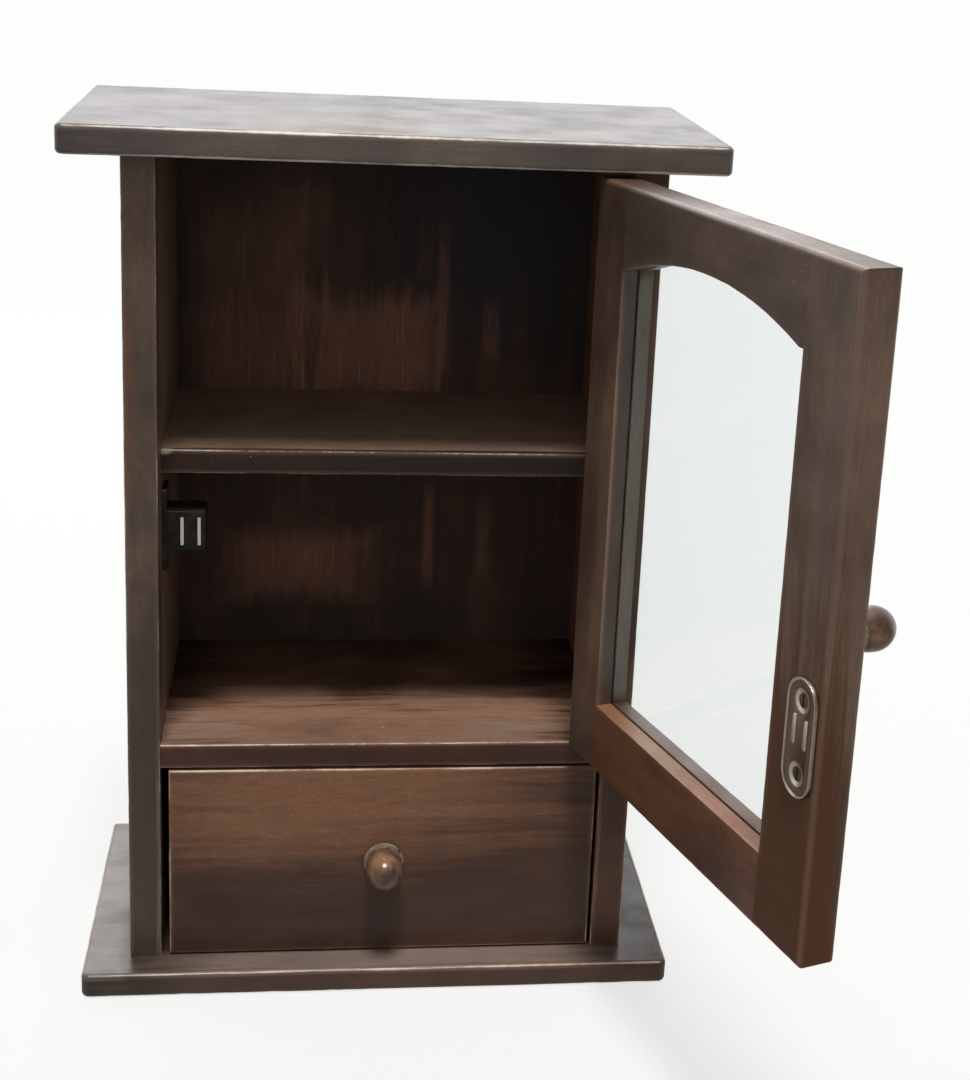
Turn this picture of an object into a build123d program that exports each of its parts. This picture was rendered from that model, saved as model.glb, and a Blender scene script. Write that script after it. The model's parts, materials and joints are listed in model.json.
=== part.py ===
"""A small wooden tabletop cabinet with a glazed door, a shelf and a drawer.

Millimetres, +Z up, the front faces -Y. The origin is the centre of the base board's
underside. The door is modelled shut and is then turned about its hinge axis to its
rest pose, standing open.
"""

import math
import os

from build123d import *

# ---- Case ----
CASE_WIDTH = 200.0  # over the outer faces of the side panels
CASE_DEPTH = 112.0  # front to back of the side panels
CASE_HEIGHT = 325.0  # length of the side panels
SIDE_THICKNESS = 12.5
BASE_THICKNESS = 10.0
BASE_SIDE_OVERHANG = 18.0
BASE_FRONT_OVERHANG = 14.0
TOP_THICKNESS = 11.0
TOP_SIDE_OVERHANG = 21.0
TOP_FRONT_OVERHANG = 14.0
BOARD_CORNER_RADIUS = 3.5  # corners of the base and top boards, seen from above
BOARD_ARRIS_RADIUS = 1.8
PANEL_ARRIS_RADIUS = 0.8
DIVIDER_HEIGHT = 83.0  # from the base board up to the divider
DIVIDER_THICKNESS = 10.0
SHELF_HEIGHT = 200.0  # from the base board up to the shelf
SHELF_THICKNESS = 9.5
BACK_THICKNESS = 5.0
BACK_REBATE = 5.0  # how far the back panel laps each side panel

# ---- Dowels, screws and brads ----
FASTENER_CLEARANCE = 0.05  # radial, in the wood
CASE_DOWEL_RADIUS = 2.5
CASE_DOWEL_LENGTH = 18.0
CASE_DOWEL_SEAT = 7.5  # depth in the side panel or the top board
CASE_DOWEL_SPACING = 64.0
HOLE_BOTTOM_GAP = 0.5  # past the end of a dowel or spigot
BASE_SCREW_RADIUS = 1.6
BASE_SCREW_HEAD_RADIUS = 3.2
BASE_SCREW_LENGTH = 30.0
BASE_SCREW_SINK = 0.4  # head below the underside
BASE_SCREW_SPACING = 72.0
BRAD_RADIUS = 0.6
BRAD_HEAD_RADIUS = 1.1
BRAD_HEAD_HEIGHT = 0.5
BRAD_LENGTH = 14.0
BACK_BRADS_A_SIDE = 4
BACK_BRAD_END_DISTANCE = 28.0
SLOT_WIDTH = 0.7  # screwdriver slots

# ---- Door ----
DOOR_THICKNESS = 14.0
DOOR_GAP_BELOW = 2.0
DOOR_GAP_ABOVE = 2.0
DOOR_HINGE_GAP = 1.0
DOOR_FREE_GAP = 1.2
HINGE_STILE_WIDTH = 23.0
FREE_STILE_WIDTH = 28.5
BOTTOM_RAIL_HEIGHT = 27.0
TOP_RAIL_HEIGHT = 30.5  # at its ends
ARCH_RISE = 10.5
ARCH_SHOULDER = 2.5  # level run at each end of the arch
DOOR_ARRIS_RADIUS = 0.9
DOOR_DOWEL_RADIUS = 2.0
DOOR_DOWEL_LENGTH = 20.0
DOOR_REST_ANGLE = 108.0  # how far the door stands open at rest
SHELF_BEHIND_DOOR = 1.0  # gap from the shut door to the shelf

# ---- Glass ----
GLASS_THICKNESS = 2.0
GLASS_GROOVE_WIDTH = 3.0
GLASS_GROOVE_DEPTH = 5.0
GLASS_FROM_INNER_FACE = 7.4  # to the middle of the glass
GLASS_PLAY = 0.3

# ---- Hinges ----
HINGE_HEIGHT = 30.0
HINGE_INSET = 21.5  # from the door's end to the hinge
HINGE_LEAF_WIDTH = 12.5  # from the pin's axis
HINGE_LEAF_THICKNESS = 1.0
HINGE_LEAF_CORNER = 1.2
HINGE_KNUCKLE_RADIUS = 1.9
HINGE_KNUCKLES = 5
HINGE_KNUCKLE_GAP = 0.3
HINGE_AXIS_PROUD = 1.6  # pin axis in front of the case
HINGE_PIN_RADIUS = 0.94
HINGE_PIN_CLEARANCE = 0.06
HINGE_PIN_END = 0.5  # past the knuckles
HINGE_SEAT_CLEARANCE = 0.15  # around the leaf in its mortise
HINGE_SCREW_RADIUS = 1.0
HINGE_SCREW_HEAD_RADIUS = 1.8
HINGE_SCREW_LENGTH = 9.0
HINGE_SCREW_OFFSET = 7.4  # from the pin's axis
HINGE_SCREW_SPACING = 18.0

# ---- Magnetic catch and its strike plate ----
CATCH_BELOW_SHELF = 7.0  # from the shelf down to the flange
CATCH_WIDTH = 16.8  # out from the side panel
CATCH_HEIGHT = 16.0
CATCH_DEPTH = 13.4
CATCH_OUTER_WALL = 1.95
CATCH_FRONT_WALL = 1.5
CATCH_CORNER_RADIUS = 1.2
CATCH_FLANGE_HEIGHT = 34.0
CATCH_FLANGE_THICKNESS = 1.8
CATCH_FLANGE_CORNER = 2.4
CATCH_SCREW_SPACING = 25.0
POLE_SPACING = 6.5
POLE_THICKNESS = 1.2
POLE_HEIGHT = 11.0
POLE_LENGTH = 12.0
POLE_PROUD = 0.8
POLE_PLAY = 0.15
STRIKE_GAP = 0.3  # from the shut strike plate to the poles
STRIKE_LENGTH = 40.4
STRIKE_WIDTH = 16.2
STRIKE_THICKNESS = 1.5
STRIKE_RIM_WIDTH = 1.4
STRIKE_RIM_HEIGHT = 0.45  # above the field
STRIKE_DROP = 4.2  # plate's centre below the catch's centre
STRIKE_SCREW_SPACING = 25.0
STRIKE_DISH_RADIUS = 4.4
STRIKE_DISH_DEPTH = 0.45
STRIKE_RIB_WIDTH = 1.7
STRIKE_RIB_LENGTH = 10.3
STRIKE_RIB_HEIGHT = 0.25
STRIKE_RIB_RAISE = 2.0  # ribs' centre above the plate's centre
FITTING_SCREW_RADIUS = 1.2
FITTING_SCREW_HEAD_RADIUS = 2.5
FITTING_SCREW_LENGTH = 9.5

# ---- Knobs ----
KNOB_COLLAR_RADIUS = 8.0
KNOB_COLLAR_THICKNESS = 1.5
KNOB_RIM_RADIUS = 0.6
KNOB_BEAD_RADIUS = 7.4
KNOB_BEAD_THICKNESS = 1.3
KNOB_GROOVE_DEPTH = 0.7
KNOB_GROOVE_WIDTH = 0.35
KNOB_BELLY_RADIUS = 6.8
KNOB_BELLY_HEIGHT = 6.6
KNOB_SHOULDER_RADIUS = 5.1
KNOB_SHOULDER_HEIGHT = 12.4
KNOB_LENGTH = 17.4
KNOB_SPIGOT_RADIUS = 3.0
KNOB_SPIGOT_LENGTH = 8.0
DOOR_KNOB_FROM_FREE_EDGE = 11.0
DOOR_KNOB_RAISE = 33.2  # above the strike plate's centre

# ---- Drawer ----
DRAWER_GAP_LEFT = 3.0
DRAWER_GAP_RIGHT = 1.2
DRAWER_GAP_BELOW = 0.5
DRAWER_GAP_ABOVE = 1.0
DRAWER_GAP_BEHIND = 5.0
DRAWER_FRONT_THICKNESS = 11.0
DRAWER_FRONT_LAP = 5.0  # front's rebate that takes each side
DRAWER_SIDE_THICKNESS = 8.0
DRAWER_SIDE_DROP = 11.5  # top of the sides below the top of the front
DRAWER_BACK_THICKNESS = 8.0
DRAWER_BOTTOM_THICKNESS = 3.0
DRAWER_BOTTOM_HEIGHT = 5.0  # from the drawer's lower edge
DRAWER_GROOVE_DEPTH = 4.0
DRAWER_GROOVE_PLAY = 0.2
DRAWER_ARRIS_RADIUS = 1.0
DRAWER_BRAD_END_DISTANCE = 16.0

# ---- Planes and levels that follow from the sizes ----
HALF_WIDTH = CASE_WIDTH / 2
INNER_X = HALF_WIDTH - SIDE_THICKNESS
BACK_Y = (CASE_DEPTH + BASE_FRONT_OVERHANG) / 2
FRONT_Y = BACK_Y - CASE_DEPTH
MIDDLE_Y = (FRONT_Y + BACK_Y) / 2
BACK_PANEL_Y = BACK_Y - BACK_THICKNESS
FLOOR_Z = BASE_THICKNESS
CEILING_Z = FLOOR_Z + CASE_HEIGHT
DIVIDER_Z = FLOOR_Z + DIVIDER_HEIGHT
SHELF_Z = FLOOR_Z + SHELF_HEIGHT

DOOR_LEFT_X = -INNER_X + DOOR_FREE_GAP
DOOR_RIGHT_X = INNER_X - DOOR_HINGE_GAP
DOOR_LOW_Z = DIVIDER_Z + DIVIDER_THICKNESS + DOOR_GAP_BELOW
DOOR_HIGH_Z = CEILING_Z - DOOR_GAP_ABOVE
DOOR_INNER_Y = FRONT_Y + DOOR_THICKNESS
OPENING_LEFT_X = DOOR_LEFT_X + FREE_STILE_WIDTH
OPENING_RIGHT_X = DOOR_RIGHT_X - HINGE_STILE_WIDTH
OPENING_LOW_Z = DOOR_LOW_Z + BOTTOM_RAIL_HEIGHT
SPRING_Z = DOOR_HIGH_Z - TOP_RAIL_HEIGHT  # where the arch springs
GLASS_Y = DOOR_INNER_Y - GLASS_FROM_INNER_FACE
GROOVE_LOW_Z = OPENING_LOW_Z - GLASS_GROOVE_DEPTH
GROOVE_HIGH_Z = SPRING_Z + ARCH_RISE + GLASS_GROOVE_DEPTH

HINGE_X = INNER_X - DOOR_HINGE_GAP / 2
HINGE_Y = FRONT_Y - HINGE_AXIS_PROUD
HINGE_AXIS = Axis((HINGE_X, HINGE_Y, 0), (0, 0, 1))
LOWER_HINGE_Z = DOOR_LOW_Z + HINGE_INSET
UPPER_HINGE_Z = DOOR_HIGH_Z - HINGE_INSET - HINGE_HEIGHT

CATCH_Z = SHELF_Z - CATCH_BELOW_SHELF - CATCH_FLANGE_HEIGHT / 2
POLE_FRONT_Y = DOOR_INNER_Y + STRIKE_THICKNESS + STRIKE_GAP
CATCH_FRONT_Y = POLE_FRONT_Y + POLE_PROUD
POLES_X = -INNER_X + CATCH_WIDTH - CATCH_OUTER_WALL - (POLE_THICKNESS + POLE_SPACING) / 2
STRIKE_Z = CATCH_Z - STRIKE_DROP

DRAWER_LEFT_X = -INNER_X + DRAWER_GAP_LEFT
DRAWER_RIGHT_X = INNER_X - DRAWER_GAP_RIGHT
DRAWER_LOW_Z = FLOOR_Z + DRAWER_GAP_BELOW
DRAWER_HIGH_Z = DIVIDER_Z - DRAWER_GAP_ABOVE
DRAWER_SIDE_HIGH_Z = DRAWER_HIGH_Z - DRAWER_SIDE_DROP
DRAWER_BACK_Y = BACK_PANEL_Y - DRAWER_GAP_BEHIND
DRAWER_FLOOR_Z = DRAWER_LOW_Z + DRAWER_BOTTOM_HEIGHT

SAME_PLACE = 1e-4  # two coordinates this close are the same
CUT_PAST = 1.0  # how far a cutter reaches past the face that it opens

UP = (0, 0, 1)
DOWN = (0, 0, -1)
LEFT = (-1, 0, 0)
RIGHT = (1, 0, 0)
FORWARD = (0, -1, 0)
BACKWARD = (0, 1, 0)


# ---- Helpers ----
def block(x_range, y_range, z_range):
    """A plain box between three pairs of coordinates."""
    ranges = (x_range, y_range, z_range)
    size = [high - low for low, high in ranges]
    centre = [(high + low) / 2 for low, high in ranges]
    return Pos(*centre) * Box(*size)


def round_edges(solid, radius, chosen):
    """The solid with the edges rounded whose middle point passes the test."""
    edges = [edge for edge in solid.edges() if chosen(edge.center())]
    return fillet(edges, radius)


def near(value, *targets):
    """True where a coordinate lies on one of the given planes."""
    return any(abs(value - target) < SAME_PLACE for target in targets)


def limited(radius, thickness):
    """An arris radius that its board is thick enough for."""
    return min(radius, 0.45 * thickness)


def places(points, outward):
    """One plane at each point, its normal pointing outward."""
    return [Plane(origin=point, z_dir=outward) for point in points]


def copies(piece, spots):
    """One copy of the piece on each plane."""
    return [spot.location * piece for spot in spots]


def group(solids):
    """Separate solids that share one node."""
    return Compound(children=list(solids))


def turned(points):
    """The solid of revolution about Z of a closed outline of (radius, height) points."""
    outline = make_face(Polyline(*points, close=True))
    return revolve(Plane.XZ * outline, Axis.Z)


def quarter_points(low, high):
    """Two heights, a quarter of the way in from each end."""
    quarter = (high - low) / 4
    return (low + quarter, high - quarter)


def spread(low, high, count):
    """Evenly spaced values from low to high."""
    return [low + (high - low) * index / (count - 1) for index in range(count)]


# ---- Fasteners, each along Z with its head or end at z = 0 ----
def countersunk_screw(radius, head_radius, length):
    """A slotted countersunk wood screw, its head up and its point down."""
    neck = radius - head_radius
    point = radius - length
    body = turned([(0, 0), (head_radius, 0), (radius, neck), (radius, point), (0, -length)])
    slot_depth = -neck / 2
    return body - Pos(0, 0, -slot_depth / 2) * Box(3 * head_radius, SLOT_WIDTH, slot_depth)


def screw_room(radius, head_radius, length, sink=0.0):
    """The hole for a countersunk screw, with the head sunk by the given depth."""
    hole = radius + FASTENER_CLEARANCE
    mouth = head_radius + FASTENER_CLEARANCE
    end = -length - FASTENER_CLEARANCE
    top = sink + FASTENER_CLEARANCE
    return turned([(0, top), (mouth, top), (mouth, 0), (hole, hole - mouth), (hole, end), (0, end)])


def brad():
    """A short wire nail with a flat head."""
    neck = -BRAD_HEAD_HEIGHT
    point = BRAD_RADIUS - BRAD_LENGTH
    head, wire = BRAD_HEAD_RADIUS, BRAD_RADIUS
    return turned([(0, 0), (head, 0), (head, neck), (wire, neck), (wire, point), (0, -BRAD_LENGTH)])


def brad_room():
    """The hole for a brad."""
    head = BRAD_HEAD_RADIUS + FASTENER_CLEARANCE
    wire = BRAD_RADIUS + FASTENER_CLEARANCE
    neck = -BRAD_HEAD_HEIGHT - FASTENER_CLEARANCE
    end = -BRAD_LENGTH - FASTENER_CLEARANCE
    return turned([(0, CUT_PAST), (head, CUT_PAST), (head, neck), (wire, neck), (wire, end), (0, end)])


def dowel(radius, length, seat):
    """A dowel with chamfered ends, its joint line at z = 0 and its seat side up."""
    pin = Pos(0, 0, seat - length / 2) * Cylinder(radius, length)
    return chamfer(pin.edges().filter_by(GeomType.CIRCLE), 0.2 * radius)


def dowel_room(radius, length, seat):
    """The holes on both sides of a dowelled joint."""
    long = length + 2 * HOLE_BOTTOM_GAP
    return Pos(0, 0, seat - length / 2) * Cylinder(radius + FASTENER_CLEARANCE, long)


def knob():
    """A turned knob standing on z = 0, with its spigot below."""
    bead_low = KNOB_COLLAR_THICKNESS + KNOB_GROOVE_WIDTH
    bead_high = bead_low + KNOB_BEAD_THICKNESS
    neck = KNOB_BEAD_RADIUS - KNOB_GROOVE_DEPTH
    corners = [
        (0, -KNOB_SPIGOT_LENGTH),
        (KNOB_SPIGOT_RADIUS, -KNOB_SPIGOT_LENGTH),
        (KNOB_SPIGOT_RADIUS, 0),
        (KNOB_COLLAR_RADIUS, 0),
        (KNOB_COLLAR_RADIUS, KNOB_COLLAR_THICKNESS),
        (neck, KNOB_COLLAR_THICKNESS),
        (neck, bead_low),
        (KNOB_BEAD_RADIUS, bead_low),
        (KNOB_BEAD_RADIUS, bead_high),
        (KNOB_BELLY_RADIUS - KNOB_GROOVE_DEPTH, bead_high),
    ]
    belly = (KNOB_BELLY_RADIUS, KNOB_BELLY_HEIGHT)
    shoulder = (KNOB_SHOULDER_RADIUS, KNOB_SHOULDER_HEIGHT)
    tip = (0, KNOB_LENGTH)
    turned_foot = Polyline(*corners)
    swell = Spline(corners[-1], belly, shoulder, tip, tangents=[(1, 1.5), (-1, 0)])
    outline = turned_foot + swell + Line(tip, corners[0])
    body = revolve(Plane.XZ * make_face(outline), Axis.Z)
    rims = [edge for edge in body.edges() if near(edge.center().Z, KNOB_COLLAR_THICKNESS)]
    return fillet(max(rims, key=lambda edge: edge.radius), limited(KNOB_RIM_RADIUS, KNOB_COLLAR_THICKNESS))


def knob_room():
    """The hole for a knob's spigot, from z = 0 down."""
    depth = KNOB_SPIGOT_LENGTH + HOLE_BOTTOM_GAP
    return Pos(0, 0, -depth / 2) * Cylinder(KNOB_SPIGOT_RADIUS + FASTENER_CLEARANCE, depth)


# ---- Where the fasteners stand ----
def base_screw_spots():
    """Under the base board, below the middle of each side panel."""
    x = HALF_WIDTH - SIDE_THICKNESS / 2
    y = BASE_SCREW_SPACING / 2
    points = [(sx * x, MIDDLE_Y + sy * y, BASE_SCREW_SINK) for sx in (-1, 1) for sy in (-1, 1)]
    return places(points, DOWN)


def top_dowel_spots():
    """On top of each side panel."""
    x = HALF_WIDTH - SIDE_THICKNESS / 2
    y = CASE_DOWEL_SPACING / 2
    points = [(sx * x, MIDDLE_Y + sy * y, CEILING_Z) for sx in (-1, 1) for sy in (-1, 1)]
    return places(points, UP)


def board_dowel_spots(z, front_y):
    """At both ends of a board between the side panels, at mid thickness."""
    middle = (front_y + BACK_PANEL_Y) / 2
    spots = []
    for side, outward in ((-1, LEFT), (1, RIGHT)):
        for along in (-1, 1):
            y = middle + along * CASE_DOWEL_SPACING / 2
            spots += places([(side * INNER_X, y, z)], outward)
    return spots


def divider_dowel_spots():
    """At the ends of the divider board."""
    return board_dowel_spots(DIVIDER_Z + DIVIDER_THICKNESS / 2, FRONT_Y)


def shelf_dowel_spots():
    """At the ends of the shelf."""
    return board_dowel_spots(SHELF_Z + SHELF_THICKNESS / 2, shelf_front_y())


def back_brad_spots():
    """On the back, where the back panel laps the side panels."""
    x = INNER_X + BACK_REBATE / 2
    low = FLOOR_Z + BACK_BRAD_END_DISTANCE
    high = CEILING_Z - BACK_BRAD_END_DISTANCE
    heights = spread(low, high, BACK_BRADS_A_SIDE)
    return places([(side * x, BACK_Y, z) for side in (-1, 1) for z in heights], BACKWARD)


def hinge_screw_spots(side, outward):
    """On the leaves of both hinges: side is +1 on the case and -1 on the door."""
    x = HINGE_X + side * (HINGE_KNUCKLE_RADIUS - HINGE_LEAF_THICKNESS)
    y = HINGE_Y + HINGE_SCREW_OFFSET
    points = []
    for low in (LOWER_HINGE_Z, UPPER_HINGE_Z):
        middle = low + HINGE_HEIGHT / 2
        points += [(x, y, middle + end * HINGE_SCREW_SPACING / 2) for end in (-1, 1)]
    return places(points, outward)


def catch_screw_spots():
    """On the catch's flange, above and below its body."""
    x = -INNER_X + CATCH_FLANGE_THICKNESS
    y = CATCH_FRONT_Y + CATCH_DEPTH / 2
    return places([(x, y, CATCH_Z + end * CATCH_SCREW_SPACING / 2) for end in (-1, 1)], RIGHT)


def strike_screw_spots():
    """In the strike plate's dishes, on the shut door's inner face."""
    y = DOOR_INNER_Y + strike_field() - STRIKE_DISH_DEPTH
    return places([(POLES_X, y, STRIKE_Z + end * STRIKE_SCREW_SPACING / 2) for end in (-1, 1)], BACKWARD)


def door_dowel_spots():
    """On the joint lines between the stiles and the rails, in the wood beyond the groove."""
    y = FRONT_Y + DOOR_THICKNESS / 2
    heights = quarter_points(DOOR_LOW_Z, GROOVE_LOW_Z) + quarter_points(GROOVE_HIGH_Z, DOOR_HIGH_Z)
    left = places([(OPENING_LEFT_X, y, z) for z in heights], LEFT)
    return left + places([(OPENING_RIGHT_X, y, z) for z in heights], RIGHT)


def drawer_brad_spots():
    """Through the drawer sides into the ends of its front and back."""
    front_core = FRONT_Y + DRAWER_FRONT_THICKNESS - DRAWER_FRONT_LAP / 2
    back_core = DRAWER_BACK_Y - DRAWER_BACK_THICKNESS / 2
    low = DRAWER_LOW_Z + DRAWER_BRAD_END_DISTANCE
    high = DRAWER_SIDE_HIGH_Z - DRAWER_BRAD_END_DISTANCE
    spots = []
    for x, outward in ((DRAWER_LEFT_X, LEFT), (DRAWER_RIGHT_X, RIGHT)):
        spots += places([(x, y, z) for y in (front_core, back_core) for z in (low, high)], outward)
    return spots


def door_knob_spots():
    """On the shut door's outer face."""
    x = DOOR_LEFT_X + DOOR_KNOB_FROM_FREE_EDGE
    return places([(x, FRONT_Y, STRIKE_Z + DOOR_KNOB_RAISE)], FORWARD)


def drawer_knob_spots():
    """In the middle of the drawer front."""
    x = (DRAWER_LEFT_X + DRAWER_RIGHT_X) / 2
    z = (DRAWER_LOW_Z + DRAWER_HIGH_Z) / 2
    return places([(x, FRONT_Y, z)], FORWARD)


# ---- Fastener sets: the pieces and the room that they need ----
def base_screw_set():
    """Screws up into the side panels."""
    sizes = (BASE_SCREW_RADIUS, BASE_SCREW_HEAD_RADIUS, BASE_SCREW_LENGTH)
    spots = base_screw_spots()
    return copies(countersunk_screw(*sizes), spots), copies(screw_room(*sizes, BASE_SCREW_SINK), spots)


def dowel_set(sizes, spots):
    """Dowels of one size and their holes."""
    return copies(dowel(*sizes), spots), copies(dowel_room(*sizes), spots)


def case_dowel_set(spots):
    """The case's dowels at the given places."""
    return dowel_set((CASE_DOWEL_RADIUS, CASE_DOWEL_LENGTH, CASE_DOWEL_SEAT), spots)


def door_dowel_set():
    """The door frame's dowels, half in the stile and half in the rail."""
    return dowel_set((DOOR_DOWEL_RADIUS, DOOR_DOWEL_LENGTH, DOOR_DOWEL_LENGTH / 2), door_dowel_spots())


def brad_set(spots):
    """Brads and their holes."""
    return copies(brad(), spots), copies(brad_room(), spots)


def hinge_screw_set(side, outward):
    """Hinge screws on one side and their holes."""
    sizes = (HINGE_SCREW_RADIUS, HINGE_SCREW_HEAD_RADIUS, HINGE_SCREW_LENGTH)
    spots = hinge_screw_spots(side, outward)
    return copies(countersunk_screw(*sizes), spots), copies(screw_room(*sizes), spots)


def fitting_screw_set(spots, sink=0.0):
    """The catch's or the strike plate's screws and their holes."""
    sizes = (FITTING_SCREW_RADIUS, FITTING_SCREW_HEAD_RADIUS, FITTING_SCREW_LENGTH)
    return copies(countersunk_screw(*sizes), spots), copies(screw_room(*sizes, sink), spots)


# ---- Case boards ----
def overhanging_board(low_z, thickness, side_overhang, front_overhang):
    """A base or top board with rounded front corners and soft arrises."""
    x = HALF_WIDTH + side_overhang
    front = FRONT_Y - front_overhang
    high_z = low_z + thickness
    board = block((-x, x), (front, BACK_Y), (low_z, high_z))
    board = round_edges(board, BOARD_CORNER_RADIUS, lambda c: near(abs(c.X), x) and near(c.Y, front))
    radius = limited(BOARD_ARRIS_RADIUS, thickness)
    return round_edges(board, radius, lambda c: near(c.Z, low_z, high_z) and not near(c.Y, BACK_Y))


def base_board():
    """The board that the cabinet stands on."""
    board = overhanging_board(0, BASE_THICKNESS, BASE_SIDE_OVERHANG, BASE_FRONT_OVERHANG)
    return board - base_screw_set()[1]


def top_board():
    """The board on top, dowelled to the side panels."""
    board = overhanging_board(CEILING_Z, TOP_THICKNESS, TOP_SIDE_OVERHANG, TOP_FRONT_OVERHANG)
    return board - case_dowel_set(top_dowel_spots())[1]


def side_panel(side):
    """A side panel, rebated at the back: side is -1 on the left and +1 on the right."""
    x_range = sorted((side * INNER_X, side * HALF_WIDTH))
    panel = block(x_range, (FRONT_Y, BACK_Y), (FLOOR_Z, CEILING_Z))
    radius = limited(PANEL_ARRIS_RADIUS, SIDE_THICKNESS)
    panel = round_edges(panel, radius, lambda c: near(c.Y, FRONT_Y) and not near(c.Z, FLOOR_Z, CEILING_Z))
    rebate_x = sorted((side * INNER_X, side * (INNER_X + BACK_REBATE)))
    panel -= block(rebate_x, (BACK_PANEL_Y, BACK_Y), (FLOOR_Z, CEILING_Z))
    for spots in (top_dowel_spots(), divider_dowel_spots(), shelf_dowel_spots()):
        panel -= case_dowel_set(spots)[1]
    panel -= base_screw_set()[1]
    return panel - brad_set(back_brad_spots())[1]


def left_side_panel():
    """The left side panel, which carries the catch."""
    return side_panel(-1) - fitting_screw_set(catch_screw_spots())[1]


def right_side_panel():
    """The right side panel, mortised for the hinges."""
    panel = side_panel(1)
    for low in (LOWER_HINGE_Z, UPPER_HINGE_Z):
        panel -= hinge_mortise(1, low, FRONT_Y, HINGE_Y + HINGE_LEAF_WIDTH + HINGE_SEAT_CLEARANCE)
    return panel - hinge_screw_set(1, LEFT)[1]


def divider_board():
    """The board between the drawer and the door."""
    board = block((-INNER_X, INNER_X), (FRONT_Y, BACK_PANEL_Y), (DIVIDER_Z, DIVIDER_Z + DIVIDER_THICKNESS))
    radius = limited(PANEL_ARRIS_RADIUS, DIVIDER_THICKNESS)
    board = round_edges(board, radius, lambda c: near(c.Y, FRONT_Y) and near(c.X, 0))
    return board - case_dowel_set(divider_dowel_spots())[1]


def shelf_front_y():
    """The shelf's front edge, just behind the shut door."""
    return DOOR_INNER_Y + SHELF_BEHIND_DOOR


def middle_shelf():
    """The shelf behind the door."""
    front = shelf_front_y()
    board = block((-INNER_X, INNER_X), (front, BACK_PANEL_Y), (SHELF_Z, SHELF_Z + SHELF_THICKNESS))
    radius = limited(PANEL_ARRIS_RADIUS, SHELF_THICKNESS)
    board = round_edges(board, radius, lambda c: near(c.Y, front) and near(c.X, 0))
    return board - case_dowel_set(shelf_dowel_spots())[1]


def back_panel():
    """The back, let into the side panels' rebates."""
    x = INNER_X + BACK_REBATE
    panel = block((-x, x), (BACK_PANEL_Y, BACK_Y), (FLOOR_Z, CEILING_Z))
    return panel - brad_set(back_brad_spots())[1]


# ---- Hinges ----
def hinge_mortise(side, low_z, front_y, back_y):
    """The recess for one leaf: side is +1 in the case and -1 in the door."""
    face = INNER_X - DOOR_HINGE_GAP if side < 0 else INNER_X
    x_range = sorted((face, HINGE_X + side * HINGE_KNUCKLE_RADIUS))
    low, high = low_z - HINGE_SEAT_CLEARANCE, low_z + HINGE_HEIGHT + HINGE_SEAT_CLEARANCE
    return block(x_range, (front_y, back_y), (low, high))


def knuckle_ranges(low_z):
    """The heights of each knuckle, from the bottom up."""
    gaps = (HINGE_KNUCKLES - 1) * HINGE_KNUCKLE_GAP
    length = (HINGE_HEIGHT - gaps) / HINGE_KNUCKLES
    lows = [low_z + index * (length + HINGE_KNUCKLE_GAP) for index in range(HINGE_KNUCKLES)]
    return [(low, low + length) for low in lows]


def hinge_leaf(side, low_z):
    """One leaf with its knuckles: side is +1 on the case and -1 on the door."""
    near_x = HINGE_X + side * (HINGE_KNUCKLE_RADIUS - HINGE_LEAF_THICKNESS)
    far_x = HINGE_X + side * HINGE_KNUCKLE_RADIUS
    far_y = HINGE_Y + HINGE_LEAF_WIDTH
    leaf = block(sorted((near_x, far_x)), (HINGE_Y, far_y), (low_z, low_z + HINGE_HEIGHT))
    middle_x, middle_z = (near_x + far_x) / 2, low_z + HINGE_HEIGHT / 2
    leaf = round_edges(leaf, HINGE_LEAF_CORNER, lambda c: near(c.Y, far_y) and near(c.X, middle_x))
    reach = HINGE_KNUCKLE_RADIUS + HINGE_KNUCKLE_GAP
    cut_y = HINGE_Y + math.sqrt(reach**2 - (HINGE_KNUCKLE_RADIUS - HINGE_LEAF_THICKNESS) ** 2)
    ranges = knuckle_ranges(low_z)
    own = ranges[0::2] if side > 0 else ranges[1::2]
    other = ranges[1::2] if side > 0 else ranges[0::2]
    for low, high in other:
        span = (low - HINGE_KNUCKLE_GAP, high + HINGE_KNUCKLE_GAP)
        leaf -= block(sorted((near_x, far_x)), (HINGE_Y - CUT_PAST, cut_y), span)
    for low, high in own:
        leaf += Pos(HINGE_X, HINGE_Y, (low + high) / 2) * Cylinder(HINGE_KNUCKLE_RADIUS, high - low)
    bore = Cylinder(HINGE_PIN_RADIUS + HINGE_PIN_CLEARANCE, 2 * HINGE_HEIGHT)
    leaf -= Pos(HINGE_X, HINGE_Y, middle_z) * bore
    outward = LEFT if side > 0 else RIGHT
    return leaf - hinge_screw_set(side, outward)[1]


def hinge_pin(low_z):
    """The pin through all the knuckles, with rounded ends."""
    pin = Cylinder(HINGE_PIN_RADIUS, HINGE_HEIGHT + 2 * HINGE_PIN_END)
    pin = fillet(pin.edges().filter_by(GeomType.CIRCLE), 0.5 * HINGE_PIN_RADIUS)
    return Pos(HINGE_X, HINGE_Y, low_z + HINGE_HEIGHT / 2) * pin


# ---- Magnetic catch ----
def pole_x_ranges(play=0.0):
    """Where the two pole plates stand, with play on both faces."""
    half = POLE_THICKNESS / 2 + play
    centres = (POLES_X - POLE_SPACING / 2, POLES_X + POLE_SPACING / 2)
    return [(x - half, x + half) for x in centres]


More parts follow.
